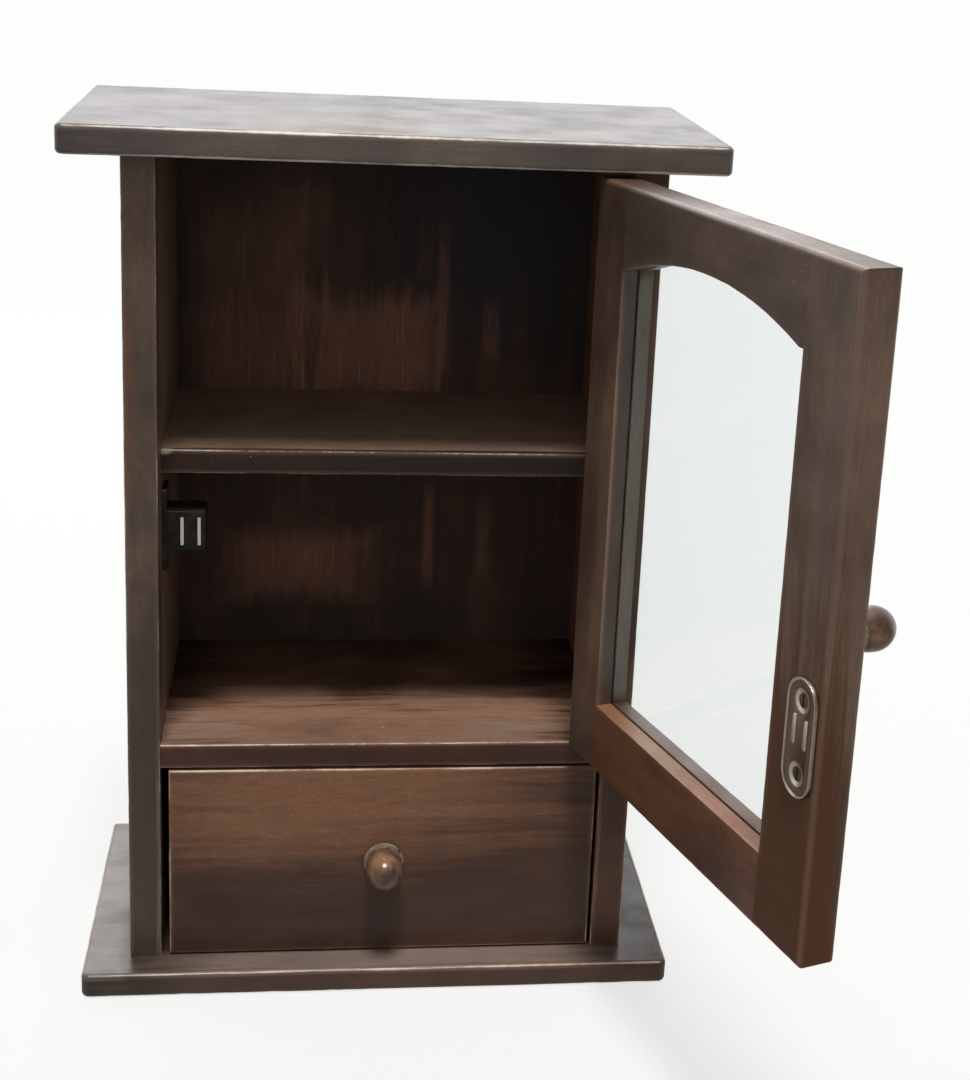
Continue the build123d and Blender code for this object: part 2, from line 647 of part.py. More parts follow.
def catch_body():
    """The catch's housing: a flange on the side panel and a body that holds the magnet."""
    back = CATCH_FRONT_Y + CATCH_DEPTH
    face = -INNER_X
    half = CATCH_HEIGHT / 2
    outer = face + CATCH_WIDTH
    body = block((face, outer), (CATCH_FRONT_Y, back), (CATCH_Z - half, CATCH_Z + half))
    body = round_edges(body, CATCH_CORNER_RADIUS, lambda c: near(c.X, outer) and not near(c.Z, CATCH_Z))
    flange_z = (CATCH_Z - CATCH_FLANGE_HEIGHT / 2, CATCH_Z + CATCH_FLANGE_HEIGHT / 2)
    flange = block((face, face + CATCH_FLANGE_THICKNESS), (CATCH_FRONT_Y, back), flange_z)
    body += round_edges(flange, CATCH_FLANGE_CORNER, lambda c: near(c.X, face + CATCH_FLANGE_THICKNESS / 2))
    pole_half = POLE_HEIGHT / 2 + POLE_PLAY
    z_range = (CATCH_Z - pole_half, CATCH_Z + pole_half)
    (left, _), (_, right) = pole_x_ranges(POLE_PLAY)
    body -= block((left, right), (CATCH_FRONT_Y + CATCH_FRONT_WALL, back), z_range)
    for x_slot in pole_x_ranges(POLE_PLAY):
        body -= block(x_slot, (CATCH_FRONT_Y - CUT_PAST, back), z_range)
    return body - fitting_screw_set(catch_screw_spots())[1]


def catch_pole_plates():
    """The two steel plates that touch the strike plate."""
    z_range = (CATCH_Z - POLE_HEIGHT / 2, CATCH_Z + POLE_HEIGHT / 2)
    y_range = (POLE_FRONT_Y, POLE_FRONT_Y + POLE_LENGTH)
    return group(block(x_range, y_range, z_range) for x_range in pole_x_ranges())


def catch_magnet():
    """The magnet between the pole plates."""
    (_, left), (right, _) = pole_x_ranges(FASTENER_CLEARANCE)
    half = POLE_HEIGHT / 2
    low_y = CATCH_FRONT_Y + CATCH_FRONT_WALL + POLE_PLAY
    return block((left, right), (low_y, POLE_FRONT_Y + POLE_LENGTH), (CATCH_Z - half, CATCH_Z + half))


def strike_field():
    """The strike plate's thickness inside its rim."""
    return STRIKE_THICKNESS - STRIKE_RIM_HEIGHT


def strike_plate():
    """An oval plate with a raised rim, two dished screw holes and two contact ribs."""
    face = Plane(origin=(POLES_X, DOOR_INNER_Y, STRIKE_Z), x_dir=UP, z_dir=BACKWARD)
    plate = extrude(face * SlotOverall(STRIKE_LENGTH, STRIKE_WIDTH), STRIKE_THICKNESS)
    field_outline = SlotOverall(STRIKE_LENGTH - 2 * STRIKE_RIM_WIDTH, STRIKE_WIDTH - 2 * STRIKE_RIM_WIDTH)
    plate -= extrude(face.offset(strike_field()) * field_outline, STRIKE_THICKNESS)
    half_length = STRIKE_RIB_LENGTH / 2
    z_middle = STRIKE_Z + STRIKE_RIB_RAISE
    for x in (POLES_X - POLE_SPACING / 2, POLES_X + POLE_SPACING / 2):
        x_range = (x - STRIKE_RIB_WIDTH / 2, x + STRIKE_RIB_WIDTH / 2)
        y_range = (DOOR_INNER_Y, DOOR_INNER_Y + strike_field() + STRIKE_RIB_HEIGHT)
        plate += block(x_range, y_range, (z_middle - half_length, z_middle + half_length))
    mouth, floor = STRIKE_DISH_RADIUS, FITTING_SCREW_HEAD_RADIUS
    dish = turned([(0, CUT_PAST), (mouth, CUT_PAST), (mouth, STRIKE_DISH_DEPTH), (floor, 0), (0, 0)])
    plate -= copies(dish, strike_screw_spots())
    return plate - fitting_screw_set(strike_screw_spots(), CUT_PAST)[1]


# ---- Door frame ----
def door_member(x_range, z_range, is_outer):
    """A stile or rail blank with its outer arrises softened."""
    member = block(x_range, (FRONT_Y, DOOR_INNER_Y), z_range)
    radius = limited(DOOR_ARRIS_RADIUS, DOOR_THICKNESS)
    return round_edges(member, radius, lambda c: near(c.Y, FRONT_Y, DOOR_INNER_Y) and is_outer(c))


def groove(x_range, z_range):
    """Room for the glass in the middle of the frame."""
    half = GLASS_GROOVE_WIDTH / 2
    return block(x_range, (GLASS_Y - half, GLASS_Y + half), z_range)


def door_stile(x_range, outer_x, inner_x):
    """An upright of the door frame, grooved on its inner edge."""
    z_range = (DOOR_LOW_Z, DOOR_HIGH_Z)
    stile = door_member(x_range, z_range, lambda c: near(c.Z, *z_range) or near(c.X, outer_x))
    inward = GLASS_GROOVE_DEPTH if inner_x > outer_x else -GLASS_GROOVE_DEPTH
    stile -= groove(sorted((inner_x, inner_x - inward)), (GROOVE_LOW_Z, GROOVE_HIGH_Z))
    return stile - door_dowel_set()[1]


def door_hinge_stile():
    """The stile that carries the hinges, notched right through for their leaves."""
    stile = door_stile((OPENING_RIGHT_X, DOOR_RIGHT_X), DOOR_RIGHT_X, OPENING_RIGHT_X)
    for low in (LOWER_HINGE_Z, UPPER_HINGE_Z):
        stile -= hinge_mortise(-1, low, FRONT_Y, DOOR_INNER_Y)
    return stile - hinge_screw_set(-1, RIGHT)[1]


def door_free_stile():
    """The stile that carries the knob and the strike plate."""
    stile = door_stile((DOOR_LEFT_X, OPENING_LEFT_X), DOOR_LEFT_X, OPENING_LEFT_X)
    stile -= fitting_screw_set(strike_screw_spots())[1]
    return stile - copies(knob_room(), door_knob_spots())


def door_bottom_rail():
    """The lower rail, grooved for the glass."""
    x_range = (OPENING_LEFT_X, OPENING_RIGHT_X)
    rail = door_member(x_range, (DOOR_LOW_Z, OPENING_LOW_Z), lambda c: near(c.Z, DOOR_LOW_Z))
    rail -= groove(x_range, (GROOVE_LOW_Z, OPENING_LOW_Z))
    return rail - door_dowel_set()[1]


def arch_void():
    """The space under the arch, between level shoulders."""
    left, right = OPENING_LEFT_X + ARCH_SHOULDER, OPENING_RIGHT_X - ARCH_SHOULDER
    crown = ((left + right) / 2, SPRING_Z + ARCH_RISE)
    curve = ThreePointArc((left, SPRING_Z), crown, (right, SPRING_Z))
    outline = Plane.XZ * make_face(curve + Line((right, SPRING_Z), (left, SPRING_Z)))
    return extrude(Pos(0, DOOR_INNER_Y + CUT_PAST, 0) * outline, DOOR_THICKNESS + 2 * CUT_PAST)


def door_top_rail():
    """The upper rail, arched over the glass."""
    x_range = (OPENING_LEFT_X, OPENING_RIGHT_X)
    rail = door_member(x_range, (SPRING_Z, DOOR_HIGH_Z), lambda c: near(c.Z, DOOR_HIGH_Z))
    rail -= arch_void()
    rail -= groove(x_range, (SPRING_Z, GROOVE_HIGH_Z))
    return rail - door_dowel_set()[1]


def door_glass():
    """The pane, standing in the grooves with a little play."""
    reach = GLASS_GROOVE_DEPTH - GLASS_PLAY
    half = GLASS_THICKNESS / 2
    x_range = (OPENING_LEFT_X - reach, OPENING_RIGHT_X + reach)
    return block(x_range, (GLASS_Y - half, GLASS_Y + half), (GROOVE_LOW_Z, GROOVE_HIGH_Z - GLASS_PLAY))


# ---- Drawer ----
def drawer_bottom_groove(x_range, y_range):
    """Room for the edge of the drawer's bottom panel."""
    height = DRAWER_BOTTOM_THICKNESS + DRAWER_GROOVE_PLAY
    return block(x_range, y_range, (DRAWER_FLOOR_Z, DRAWER_FLOOR_Z + height))


def drawer_front():
    """The drawer's face, rebated at its ends and grooved along its foot."""
    back = FRONT_Y + DRAWER_FRONT_THICKNESS
    front = block((DRAWER_LEFT_X, DRAWER_RIGHT_X), (FRONT_Y, back), (DRAWER_LOW_Z, DRAWER_HIGH_Z))
    radius = limited(DRAWER_ARRIS_RADIUS, DRAWER_FRONT_THICKNESS)
    front = round_edges(front, radius, lambda c: near(c.Y, FRONT_Y))
    for edge, inward in ((DRAWER_LEFT_X, 1), (DRAWER_RIGHT_X, -1)):
        x_range = sorted((edge - inward * CUT_PAST, edge + inward * DRAWER_SIDE_THICKNESS))
        z_range = (DRAWER_LOW_Z - CUT_PAST, DRAWER_SIDE_HIGH_Z)
        front -= block(x_range, (back - DRAWER_FRONT_LAP, back), z_range)
    groove_y = (back - DRAWER_GROOVE_DEPTH, back)
    inner = (DRAWER_LEFT_X + DRAWER_SIDE_THICKNESS, DRAWER_RIGHT_X - DRAWER_SIDE_THICKNESS)
    front -= drawer_bottom_groove(inner, groove_y)
    front -= brad_set(drawer_brad_spots())[1]
    return front - copies(knob_room(), drawer_knob_spots())


def drawer_side(outer_x, inward):
    """A drawer side: inward is +1 on the left side and -1 on the right."""
    inner_x = outer_x + inward * DRAWER_SIDE_THICKNESS
    y_range = (FRONT_Y + DRAWER_FRONT_THICKNESS - DRAWER_FRONT_LAP, DRAWER_BACK_Y)
    z_range = (DRAWER_LOW_Z, DRAWER_SIDE_HIGH_Z)
    side = block(sorted((outer_x, inner_x)), y_range, z_range)
    side -= drawer_bottom_groove(sorted((inner_x, inner_x - inward * DRAWER_GROOVE_DEPTH)), y_range)
    return side - brad_set(drawer_brad_spots())[1]


def drawer_back():
    """The drawer's back, standing on the bottom panel between the sides."""
    x_range = (DRAWER_LEFT_X + DRAWER_SIDE_THICKNESS, DRAWER_RIGHT_X - DRAWER_SIDE_THICKNESS)
    low = DRAWER_FLOOR_Z + DRAWER_BOTTOM_THICKNESS
    y_range = (DRAWER_BACK_Y - DRAWER_BACK_THICKNESS, DRAWER_BACK_Y)
    back = block(x_range, y_range, (low, DRAWER_SIDE_HIGH_Z))
    return back - brad_set(drawer_brad_spots())[1]


def drawer_bottom():
    """The drawer's bottom panel, in grooves on three sides."""
    reach = DRAWER_GROOVE_DEPTH - DRAWER_GROOVE_PLAY
    left = DRAWER_LEFT_X + DRAWER_SIDE_THICKNESS - reach
    right = DRAWER_RIGHT_X - DRAWER_SIDE_THICKNESS + reach
    notch = FRONT_Y + DRAWER_FRONT_THICKNESS + DRAWER_GROOVE_PLAY
    z_range = (DRAWER_FLOOR_Z, DRAWER_FLOOR_Z + DRAWER_BOTTOM_THICKNESS)
    panel = block((left, right), (notch, DRAWER_BACK_Y), z_range)
    inner = (left + reach + DRAWER_GROOVE_PLAY, right - reach - DRAWER_GROOVE_PLAY)
    return panel + block(inner, (notch - reach, notch), z_range)


# ---- The assembly ----
def case_nodes():
    """Everything that stays with the case."""
    return {
        "base_board": base_board(),
        "top_board": top_board(),
        "left_side_panel": left_side_panel(),
        "right_side_panel": right_side_panel(),
        "divider_board": divider_board(),
        "middle_shelf": middle_shelf(),
        "back_panel": back_panel(),
        "base_screws": group(base_screw_set()[0]),
        "top_dowels": group(case_dowel_set(top_dowel_spots())[0]),
        "divider_dowels": group(case_dowel_set(divider_dowel_spots())[0]),
        "shelf_dowels": group(case_dowel_set(shelf_dowel_spots())[0]),
        "back_brads": group(brad_set(back_brad_spots())[0]),
        "upper_hinge_frame_leaf": hinge_leaf(1, UPPER_HINGE_Z),
        "lower_hinge_frame_leaf": hinge_leaf(1, LOWER_HINGE_Z),
        "upper_hinge_pin": hinge_pin(UPPER_HINGE_Z),
        "lower_hinge_pin": hinge_pin(LOWER_HINGE_Z),
        "hinge_frame_screws": group(hinge_screw_set(1, LEFT)[0]),
        "catch_body": catch_body(),
        "catch_magnet": catch_magnet(),
        "catch_pole_plates": catch_pole_plates(),
        "catch_screws": group(fitting_screw_set(catch_screw_spots())[0]),
    }


def shut_door_nodes():
    """Everything that swings with the door, with the door shut."""
    return {
        "door_hinge_stile": door_hinge_stile(),
        "door_free_stile": door_free_stile(),
        "door_top_rail": door_top_rail(),
        "door_bottom_rail": door_bottom_rail(),
        "door_glass": door_glass(),
        "door_dowels": group(door_dowel_set()[0]),
        "upper_hinge_door_leaf": hinge_leaf(-1, UPPER_HINGE_Z),
        "lower_hinge_door_leaf": hinge_leaf(-1, LOWER_HINGE_Z),
        "hinge_door_screws": group(hinge_screw_set(-1, RIGHT)[0]),
        "strike_plate": strike_plate(),
        "strike_screws": group(fitting_screw_set(strike_screw_spots())[0]),
        "door_knob": copies(knob(), door_knob_spots())[0],
    }


def drawer_nodes():
    """Everything that slides with the drawer."""
    return {
        "drawer_front": drawer_front(),
        "drawer_left_side": drawer_side(DRAWER_LEFT_X, 1),
        "drawer_right_side": drawer_side(DRAWER_RIGHT_X, -1),
        "drawer_back": drawer_back(),
        "drawer_bottom": drawer_bottom(),
        "drawer_brads": group(brad_set(drawer_brad_spots())[0]),
        "drawer_knob": copies(knob(), drawer_knob_spots())[0],
    }


def open_door_nodes():
    """The door's pieces in their rest pose, standing open."""
    return {name: shape.rotate(HINGE_AXIS, DOOR_REST_ANGLE) for name, shape in shut_door_nodes().items()}


def main():
    """Write one STEP file for each node."""
    os.makedirs("parts", exist_ok=True)
    for nodes in (case_nodes(), open_door_nodes(), drawer_nodes()):
        for name, shape in nodes.items():
            export_step(shape, f"parts/{name}.step")


main()
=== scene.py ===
"""Dresses a small dark-stained tabletop cabinet with a glazed door, a shelf and a drawer.

Metres, +Z up, the front faces -Y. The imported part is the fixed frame: every new piece takes
its place and its size from the node that it stands for. The door's pieces are shaped with the
door shut and are then swung out about the hinge axis to the rest pose.
"""

import json
import logging
import math
from collections.abc import Callable, Iterator
from contextlib import contextmanager
from dataclasses import dataclass, field, replace
from enum import Enum
from typing import Any

import bmesh
import bpy
import numpy as np
from mathutils import Matrix, Vector
from mathutils.geometry import interpolate_bezier


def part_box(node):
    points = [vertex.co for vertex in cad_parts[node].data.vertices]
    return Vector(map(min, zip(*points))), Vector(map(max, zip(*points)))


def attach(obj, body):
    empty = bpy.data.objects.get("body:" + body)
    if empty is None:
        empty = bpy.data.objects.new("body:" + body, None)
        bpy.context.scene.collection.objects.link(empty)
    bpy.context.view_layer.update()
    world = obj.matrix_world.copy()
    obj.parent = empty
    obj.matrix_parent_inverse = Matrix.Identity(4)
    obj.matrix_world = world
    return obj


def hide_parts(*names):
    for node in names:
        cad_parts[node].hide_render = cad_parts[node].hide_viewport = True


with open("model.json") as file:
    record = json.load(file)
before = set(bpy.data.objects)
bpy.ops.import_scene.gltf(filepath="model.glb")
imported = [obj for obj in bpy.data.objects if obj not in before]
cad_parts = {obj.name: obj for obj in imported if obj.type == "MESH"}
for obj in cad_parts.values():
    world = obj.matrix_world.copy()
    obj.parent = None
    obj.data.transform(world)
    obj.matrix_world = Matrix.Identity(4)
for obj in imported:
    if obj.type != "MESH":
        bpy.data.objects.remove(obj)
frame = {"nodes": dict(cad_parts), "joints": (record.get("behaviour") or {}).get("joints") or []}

log = logging.getLogger("cabinet")

MM = 0.001
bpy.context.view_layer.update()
SMOOTH_ANGLE = math.radians(34)
HAIR = 0.02 * MM  # two places this close are the same
MERGE = 0.004 * MM  # vertices this close become one
ROUND = 0.552  # handle length that makes a Bezier curve a quarter of a circle
ARRIS = "arris"  # nearness to the closest open arris, 1 on it and 0 beyond its reach
ARRIS_REACH = 12 * MM

Triple = tuple[float, float, float]
Colour = Triple
Piece = bpy.types.Object
Socket = bpy.types.NodeSocket
Box = tuple[Vector, Vector]
Segment = tuple[Vector, Vector]
Outline = list[tuple[float, float]]
Chooser = Callable[[Vector], bool]


def tone(red: int, green: int, blue: int) -> Colour:
    """A colour from three display values of 0 to 255, as linear light."""
    parts = (channel / 255 for channel in (red, green, blue))
    return tuple(part / 12.92 if part < 0.04045 else ((part + 0.055) / 1.055) ** 2.4 for part in parts)


class Axis(Enum):
    """The three directions of the part."""

    X = 0
    Y = 1
    Z = 2

    @property
    def unit(self) -> Vector:
        """The direction as a vector of length one."""
        return Vector([1.0 if index == self.value else 0.0 for index in range(3)])


EdgeChooser = Callable[[Vector, Axis], bool]


# ---- Materials: the tools ----
class Value:
    """A number that a material works out, on which Python's operators add Math nodes."""

    def __init__(self, recipe: "Recipe", socket: Socket) -> None:
        """Keeps the recipe that the number belongs to and the socket that gives it."""
        self.recipe = recipe
        self.socket = socket

    def _math(self, operation: str, first: Any, second: Any) -> "Value":
        """One Math node on two values."""
        return self.recipe.value("ShaderNodeMath", {"operation": operation}, {0: first, 1: second})

    def __add__(self, other: Any) -> "Value":
        """The sum."""
        return self._math("ADD", self, other)

    def __sub__(self, other: Any) -> "Value":
        """The difference."""
        return self._math("SUBTRACT", self, other)

    def __rsub__(self, other: Any) -> "Value":
        """The difference, this value taken away."""
        return self._math("SUBTRACT", other, self)

    def __mul__(self, other: Any) -> "Value":
        """The product."""
        return self._math("MULTIPLY", self, other)

    def __truediv__(self, other: Any) -> "Value":
        """The quotient."""
        return self._math("DIVIDE", self, other)

    __radd__ = __add__
    __rmul__ = __mul__

    def larger(self, other: Any) -> "Value":
        """The larger of two values."""
        return self._math("MAXIMUM", self, other)

    def rise(self, low: float, high: float, top: float = 1.0) -> "Value":
        """A soft step from 0 at one level to the top value at another.

        Args:
            low: The level that gives 0. It may lie above the other one.
            high: The level that gives the top value.
            top: The value above the step.

        Returns:
            The stepped value.
        """
        inputs = {"Value": self, "From Min": low, "From Max": high, "To Max": top}
        return self.recipe.value("ShaderNodeMapRange", {"interpolation_type": "SMOOTHSTEP"}, inputs)


class Recipe:
    """The node tree of one material, written as expressions."""

    MIX_SHARE, MIX_BELOW, MIX_ABOVE, MIX_RESULT = 0, 6, 7, 2  # colour sockets of a Mix node

    def __init__(self, name: str, owner: bpy.types.World | None = None) -> None:
        """Starts with an empty tree.

        Args:
            name: The new material's name.
            owner: A sky to give the tree to, in place of a material.
        """
        self.material = owner or bpy.data.materials.new(name)
        self.material.use_nodes = True
        self.tree = self.material.node_tree
        self.tree.nodes.clear()

    def node(self, kind: str, settings: dict[str, Any], inputs: dict[Any, Any]) -> bpy.types.Node:
        """Adds any node.

        Args:
            kind: The node's type.
            settings: Its own settings, set before its sockets.
            inputs: A value, a socket or a Value for each named or numbered socket.

        Returns:
            The new node.
        """
        node = self.tree.nodes.new(kind)
        for key, setting in settings.items():
            setattr(node, key, setting)
        for key, given in inputs.items():
            self._feed(node.inputs[key], given)
        return node

    def _feed(self, socket: Socket, given: Any) -> None:
        """Links a socket, or sets its own value.

        Args:
            socket: The socket to feed.
            given: A Value, a socket, a colour or a plain value.
        """
        if isinstance(given, Value):
            given = given.socket
        if isinstance(given, Socket):
            self.tree.links.new(given, socket)
        elif socket.type == "RGBA" and len(given) == 3:
            socket.default_value = (*given, 1.0)
        else:
            socket.default_value = given

    def value(self, kind: str, settings: dict[str, Any], inputs: dict[Any, Any], output: Any = 0) -> Value:
        """Adds any node and gives one of its outputs as a number."""
        return Value(self, self.node(kind, settings, inputs).outputs[output])

    def vector(self, operation: str, *inputs: Any) -> Socket:
        """The vector that one Vector Math node gives."""
        return self.node("ShaderNodeVectorMath", {"operation": operation}, dict(enumerate(inputs))).outputs[0]

    def measure(self, operation: str, *inputs: Any) -> Value:
        """The number that one Vector Math node gives."""
        return self.value("ShaderNodeVectorMath", {"operation": operation}, dict(enumerate(inputs)), "Value")

    def place(self, swing: "Swing | None" = None) -> Socket:
        """Object coordinates.

        Args:
            swing: The door's swing, for a piece that is to be read as if the door were shut.

        Returns:
            The coordinates' socket.
        """
        found = self.node("ShaderNodeTexCoord", {}, {}).outputs["Object"]
        if swing is None:
            return found
        back, turn = swing.matrix(-1.0).translation, (0.0, 0.0, -swing.angle)
        inputs = {"Vector": found, "Location": back, "Rotation": turn}
        return self.node("ShaderNodeMapping", {"vector_type": "POINT"}, inputs).outputs[0]

    def drawn(self, place: Socket, along: Axis, scale: float) -> Socket:
        """Coordinates scaled in one direction, which draws a pattern out if the scale is small."""
        return self.vector("MULTIPLY", place, [scale if axis is along else 1.0 for axis in Axis])

    def noise(
        self, place: Socket, scale: float, detail: float, rough: float = 0.5, warp: float = 0.0
    ) -> Value:
        """Smooth noise of about 0.5."""
        inputs = {"Vector": place, "Scale": scale, "Detail": detail, "Roughness": rough, "Distortion": warp}
        return self.value("ShaderNodeTexNoise", {}, inputs)

    def cells(self, place: Socket, scale: float, output: str = "Distance") -> Value:
        """The distance to the nearest of many scattered points, or another output of that node."""
        return self.value("ShaderNodeTexVoronoi", {}, {"Vector": place, "Scale": scale}, output)

    def attribute(self, name: str) -> Value:
        """A number kept on the piece's vertices."""
        return self.value("ShaderNodeAttribute", {"attribute_name": name}, {}, "Fac")

    def mix(self, share: Any, below: Any, above: Any) -> Socket:
        """A mix of two colours.

        Args:
            share: How much of the upper colour shows, 0 to 1.
            below: The colour below.
            above: The colour above.

        Returns:
            The mixed colour.
        """
        inputs = {self.MIX_SHARE: share, self.MIX_BELOW: below, self.MIX_ABOVE: above}
        return self.node("ShaderNodeMix", {"data_type": "RGBA"}, inputs).outputs[self.MIX_RESULT]

    def bump(self, height: Value, distance: float, strength: float) -> Socket:
        """A surface raised by a height of 0 to 1, with the distance that 1 stands for."""
        inputs = {"Strength": strength, "Distance": distance, "Height": height}
        return self.node("ShaderNodeBump", {}, inputs).outputs[0]

    def finish(self, inputs: dict[str, Any]) -> bpy.types.Material:
        """Closes the material with a Principled surface.

        Args:
            inputs: What feeds the surface's sockets, by their names.

        Returns:
            The material.
        """
        surface = self.node("ShaderNodeBsdfPrincipled", {}, inputs)
        self.node("ShaderNodeOutputMaterial", {}, {"Surface": surface.outputs[0]})
        return self.material


# ---- Materials: the finishes ----
@dataclass(frozen=True)
class Patch:
    """A place where the stain is rubbed thin, or where it lies thick if its strength is negative; some
    patches are painted light or painted shade instead.

    A patch with a shade of its own lays that colour over the stain.
    """

    centre: Vector | Triple
    reach: Triple
    strength: float = 1.0
    shade: Colour | None = None
    soft: float = 0.1  # share of the reach where it is strongest; near 1 gives a firm edge
    square: bool = False  # reaches into its box's corners
    ragged: float = 1.4  # how far the streaks break up its rim

    def spread(self, recipe: Recipe, place: Socket, rag: Value) -> Value:
        """How much of the patch lies at a place.

        Args:
            recipe: The material that it belongs to.
            place: The coordinates.
            rag: Noise that breaks up its rim.

        Returns:
            The share, strongest in the patch's middle.
        """
        share = recipe.vector("DIVIDE", recipe.vector("SUBTRACT", place, self.centre), self.reach)
        if self.square:
            sides = recipe.node("ShaderNodeSeparateXYZ", {}, {0: recipe.vector("ABSOLUTE", share)}).outputs
            across, deep, high = (Value(recipe, side) for side in sides)
            far = across.larger(deep).larger(high)
        else:
            far = recipe.measure("LENGTH", share)
        return (far + (rag - 0.5) * self.ragged).rise(1.0, self.soft, self.strength)


@dataclass(frozen=True)
class StainedWood:
    """Dark stain on fine-grained wood, worn pale along the arrises."""

    name: str
    dense: Colour  # where the stain lies thick
    thin: Colour  # where it lies thin
    red: Colour = tone(92, 60, 47)  # blots in which the red of the wood shows
    bare: Colour = tone(216, 202, 188)  # wood that shows at a rubbed arris
    thinness: float = 0.35  # how much of the thin tone shows all over
    figure: float = 0.16  # strength of the streaks along the grain
    strokes: float = 0.25  # short pale strokes along the grain
    stroke_draw: float = 0.18  # the lower, the longer they are
    clouds: float = 1.2  # unevenness of the stain
    arris_width: float = 0.5 * MM  # of the rubbed line
    arris_show: float = 0.6  # how plainly that line shows
    specks: float = 1.0
    roughness: float = 0.42
    specular: float = 0.4
    coat: float = 0.3
    relief: float = 0.5  # strength of the fine unevenness
    matte: Patch | None = None  # where the varnish has gone dull
    patches: tuple[Patch, ...] = ()

    def stain(self, recipe: Recipe, place: Socket, grain: Axis) -> Socket:
        """The stain's colour before any wear.

        Args:
            recipe: The material.
            place: Its coordinates.
            grain: The direction of the grain.

        Returns:
            The colour.
        """
        fibres = recipe.drawn(place, grain, 0.08)
        streak = recipe.noise(fibres, 170.0, 5.0, 0.65, 0.8)
        fine = recipe.noise(fibres, 1100.0, 3.0, 0.6)
        cloud = recipe.noise(place, 14.0, 4.0, 0.6, 0.3)
        blot = recipe.noise(recipe.drawn(place, grain, 0.4), 42.0, 4.0, 0.62, 0.5)
        thin = (cloud - 0.5) * self.clouds + (blot - 0.5) * (0.6 * self.clouds)
        thin = thin + (streak - 0.5) * (2.0 * self.figure) + self.thinness
        spreads = [(patch.spread(recipe, place, streak), patch.shade) for patch in self.patches]
        for spread in (spread for spread, shade in spreads if shade is None):
            thin = thin + spread
        colour = recipe.mix(thin.rise(0.0, 1.0), self.dense, self.thin)
        colour = recipe.mix(blot.rise(0.5, 0.75, 0.45), colour, self.red)
        for spread, shade in ((spread, shade) for spread, shade in spreads if shade is not None):
            colour = recipe.mix(spread * (0.6 + blot * 0.8), colour, shade)
        colour = recipe.mix(fine.rise(0.4, 0.8, 0.3), colour, self.dense)
        short = recipe.noise(recipe.drawn(place, grain, self.stroke_draw), 1500.0, 2.0).rise(0.60, 0.74)
        return recipe.mix(short * thin.rise(0.1, 1.1) * self.strokes, colour, self.bare)

    def make(self, grain: Axis, swing: "Swing | None" = None) -> bpy.types.Material:
        """Builds the material.

        Args:
            grain: The direction in which the grain runs, with the door shut.
            swing: The door's swing, for a piece of the door.

        Returns:
            The new material.
        """
        recipe = Recipe(self.name)
        place = recipe.place(swing)
        colour = self.stain(recipe, place, grain)

        shake = (recipe.noise(place, 380.0, 3.0, 0.7) - 0.5) * 0.8
        away = (1.0 - recipe.attribute(ARRIS)) * (ARRIS_REACH / MM) + shake
        stretches = recipe.noise(place, 26.0, 4.0, 0.65)
        line = self.arris_width / MM
        width = stretches.rise(0.35, 0.8, 1.6 * line) + 0.4 * line
        rubbed = (away / width).rise(1.0, 0.2) * (stretches.rise(0.3, 0.62, 0.65) + 0.35)
        colour = recipe.mix((away / 6.0).rise(1.0, 0.0, 0.3), colour, self.thin)
        colour = recipe.mix(rubbed * self.arris_show, colour, self.bare)

        dots = recipe.cells(place, 150.0).rise(0.08, 0.04)
        sparse = recipe.cells(place, 150.0, "Color").rise(0.84, 0.88)
        colour = recipe.mix(dots * sparse * (0.7 * self.specks), colour, self.bare)

        handled = recipe.noise(place, 45.0, 4.0, 0.6)
        streak = recipe.noise(recipe.drawn(place, grain, 0.06), 220.0, 3.0, 0.6)
        grit = recipe.noise(recipe.drawn(place, grain, 0.1), 1500.0, 3.0, 0.6)
        roughness = handled * 0.24 + (self.roughness - 0.12) + rubbed * 0.2
        coat = (streak * 0.4 + handled * 1.6).rise(1.5, 0.7, self.coat)
        if self.matte is not None:
            dull = self.matte.spread(recipe, place, handled)
            roughness = roughness + dull * 0.25
            coat = coat * (1.0 - dull)
        return recipe.finish({
            "Base Color": colour,
            "Roughness": roughness,
            "Specular IOR Level": self.specular,
            "Coat Weight": coat,
            "Coat Roughness": 0.24,
            "Normal": recipe.bump(grit * 0.4 + handled * 0.8 - rubbed * 0.6, 0.12 * MM, self.relief),
        })


@dataclass(frozen=True)
class PlainWood:
    """Uncoated wood that only fine streaks mark."""

    name: str
    light: Colour
    dark: Colour
    roughness: float = 0.62

    def make(self, grain: Axis, swing: "Swing | None" = None) -> bpy.types.Material:
        """Builds the material.

        Args:
            grain: The direction in which the grain runs, with the door shut.
            swing: The door's swing, for a piece of the door.

        Returns:
            The new material.
        """
        recipe = Recipe(self.name)
        place = recipe.place(swing)
        fibres = recipe.drawn(place, grain, 0.05)
        streak = recipe.noise(fibres, 160.0, 5.0, 0.6, 0.8)
        pore = recipe.noise(fibres, 1500.0, 2.0).rise(0.56, 0.75)
        soil = recipe.noise(place, 30.0, 4.0, 0.6)
        colour = recipe.mix(streak.rise(0.3, 0.72), self.light, self.dark)
        return recipe.finish({
            "Base Color": recipe.mix(pore * 0.5 + soil.rise(0.5, 0.9, 0.3), colour, self.dark),
            "Roughness": soil * 0.2 + (self.roughness - 0.1),
            "Specular IOR Level": 0.35,
            "Normal": recipe.bump(streak * 0.4 - pore, 0.08 * MM, 0.6),
        })


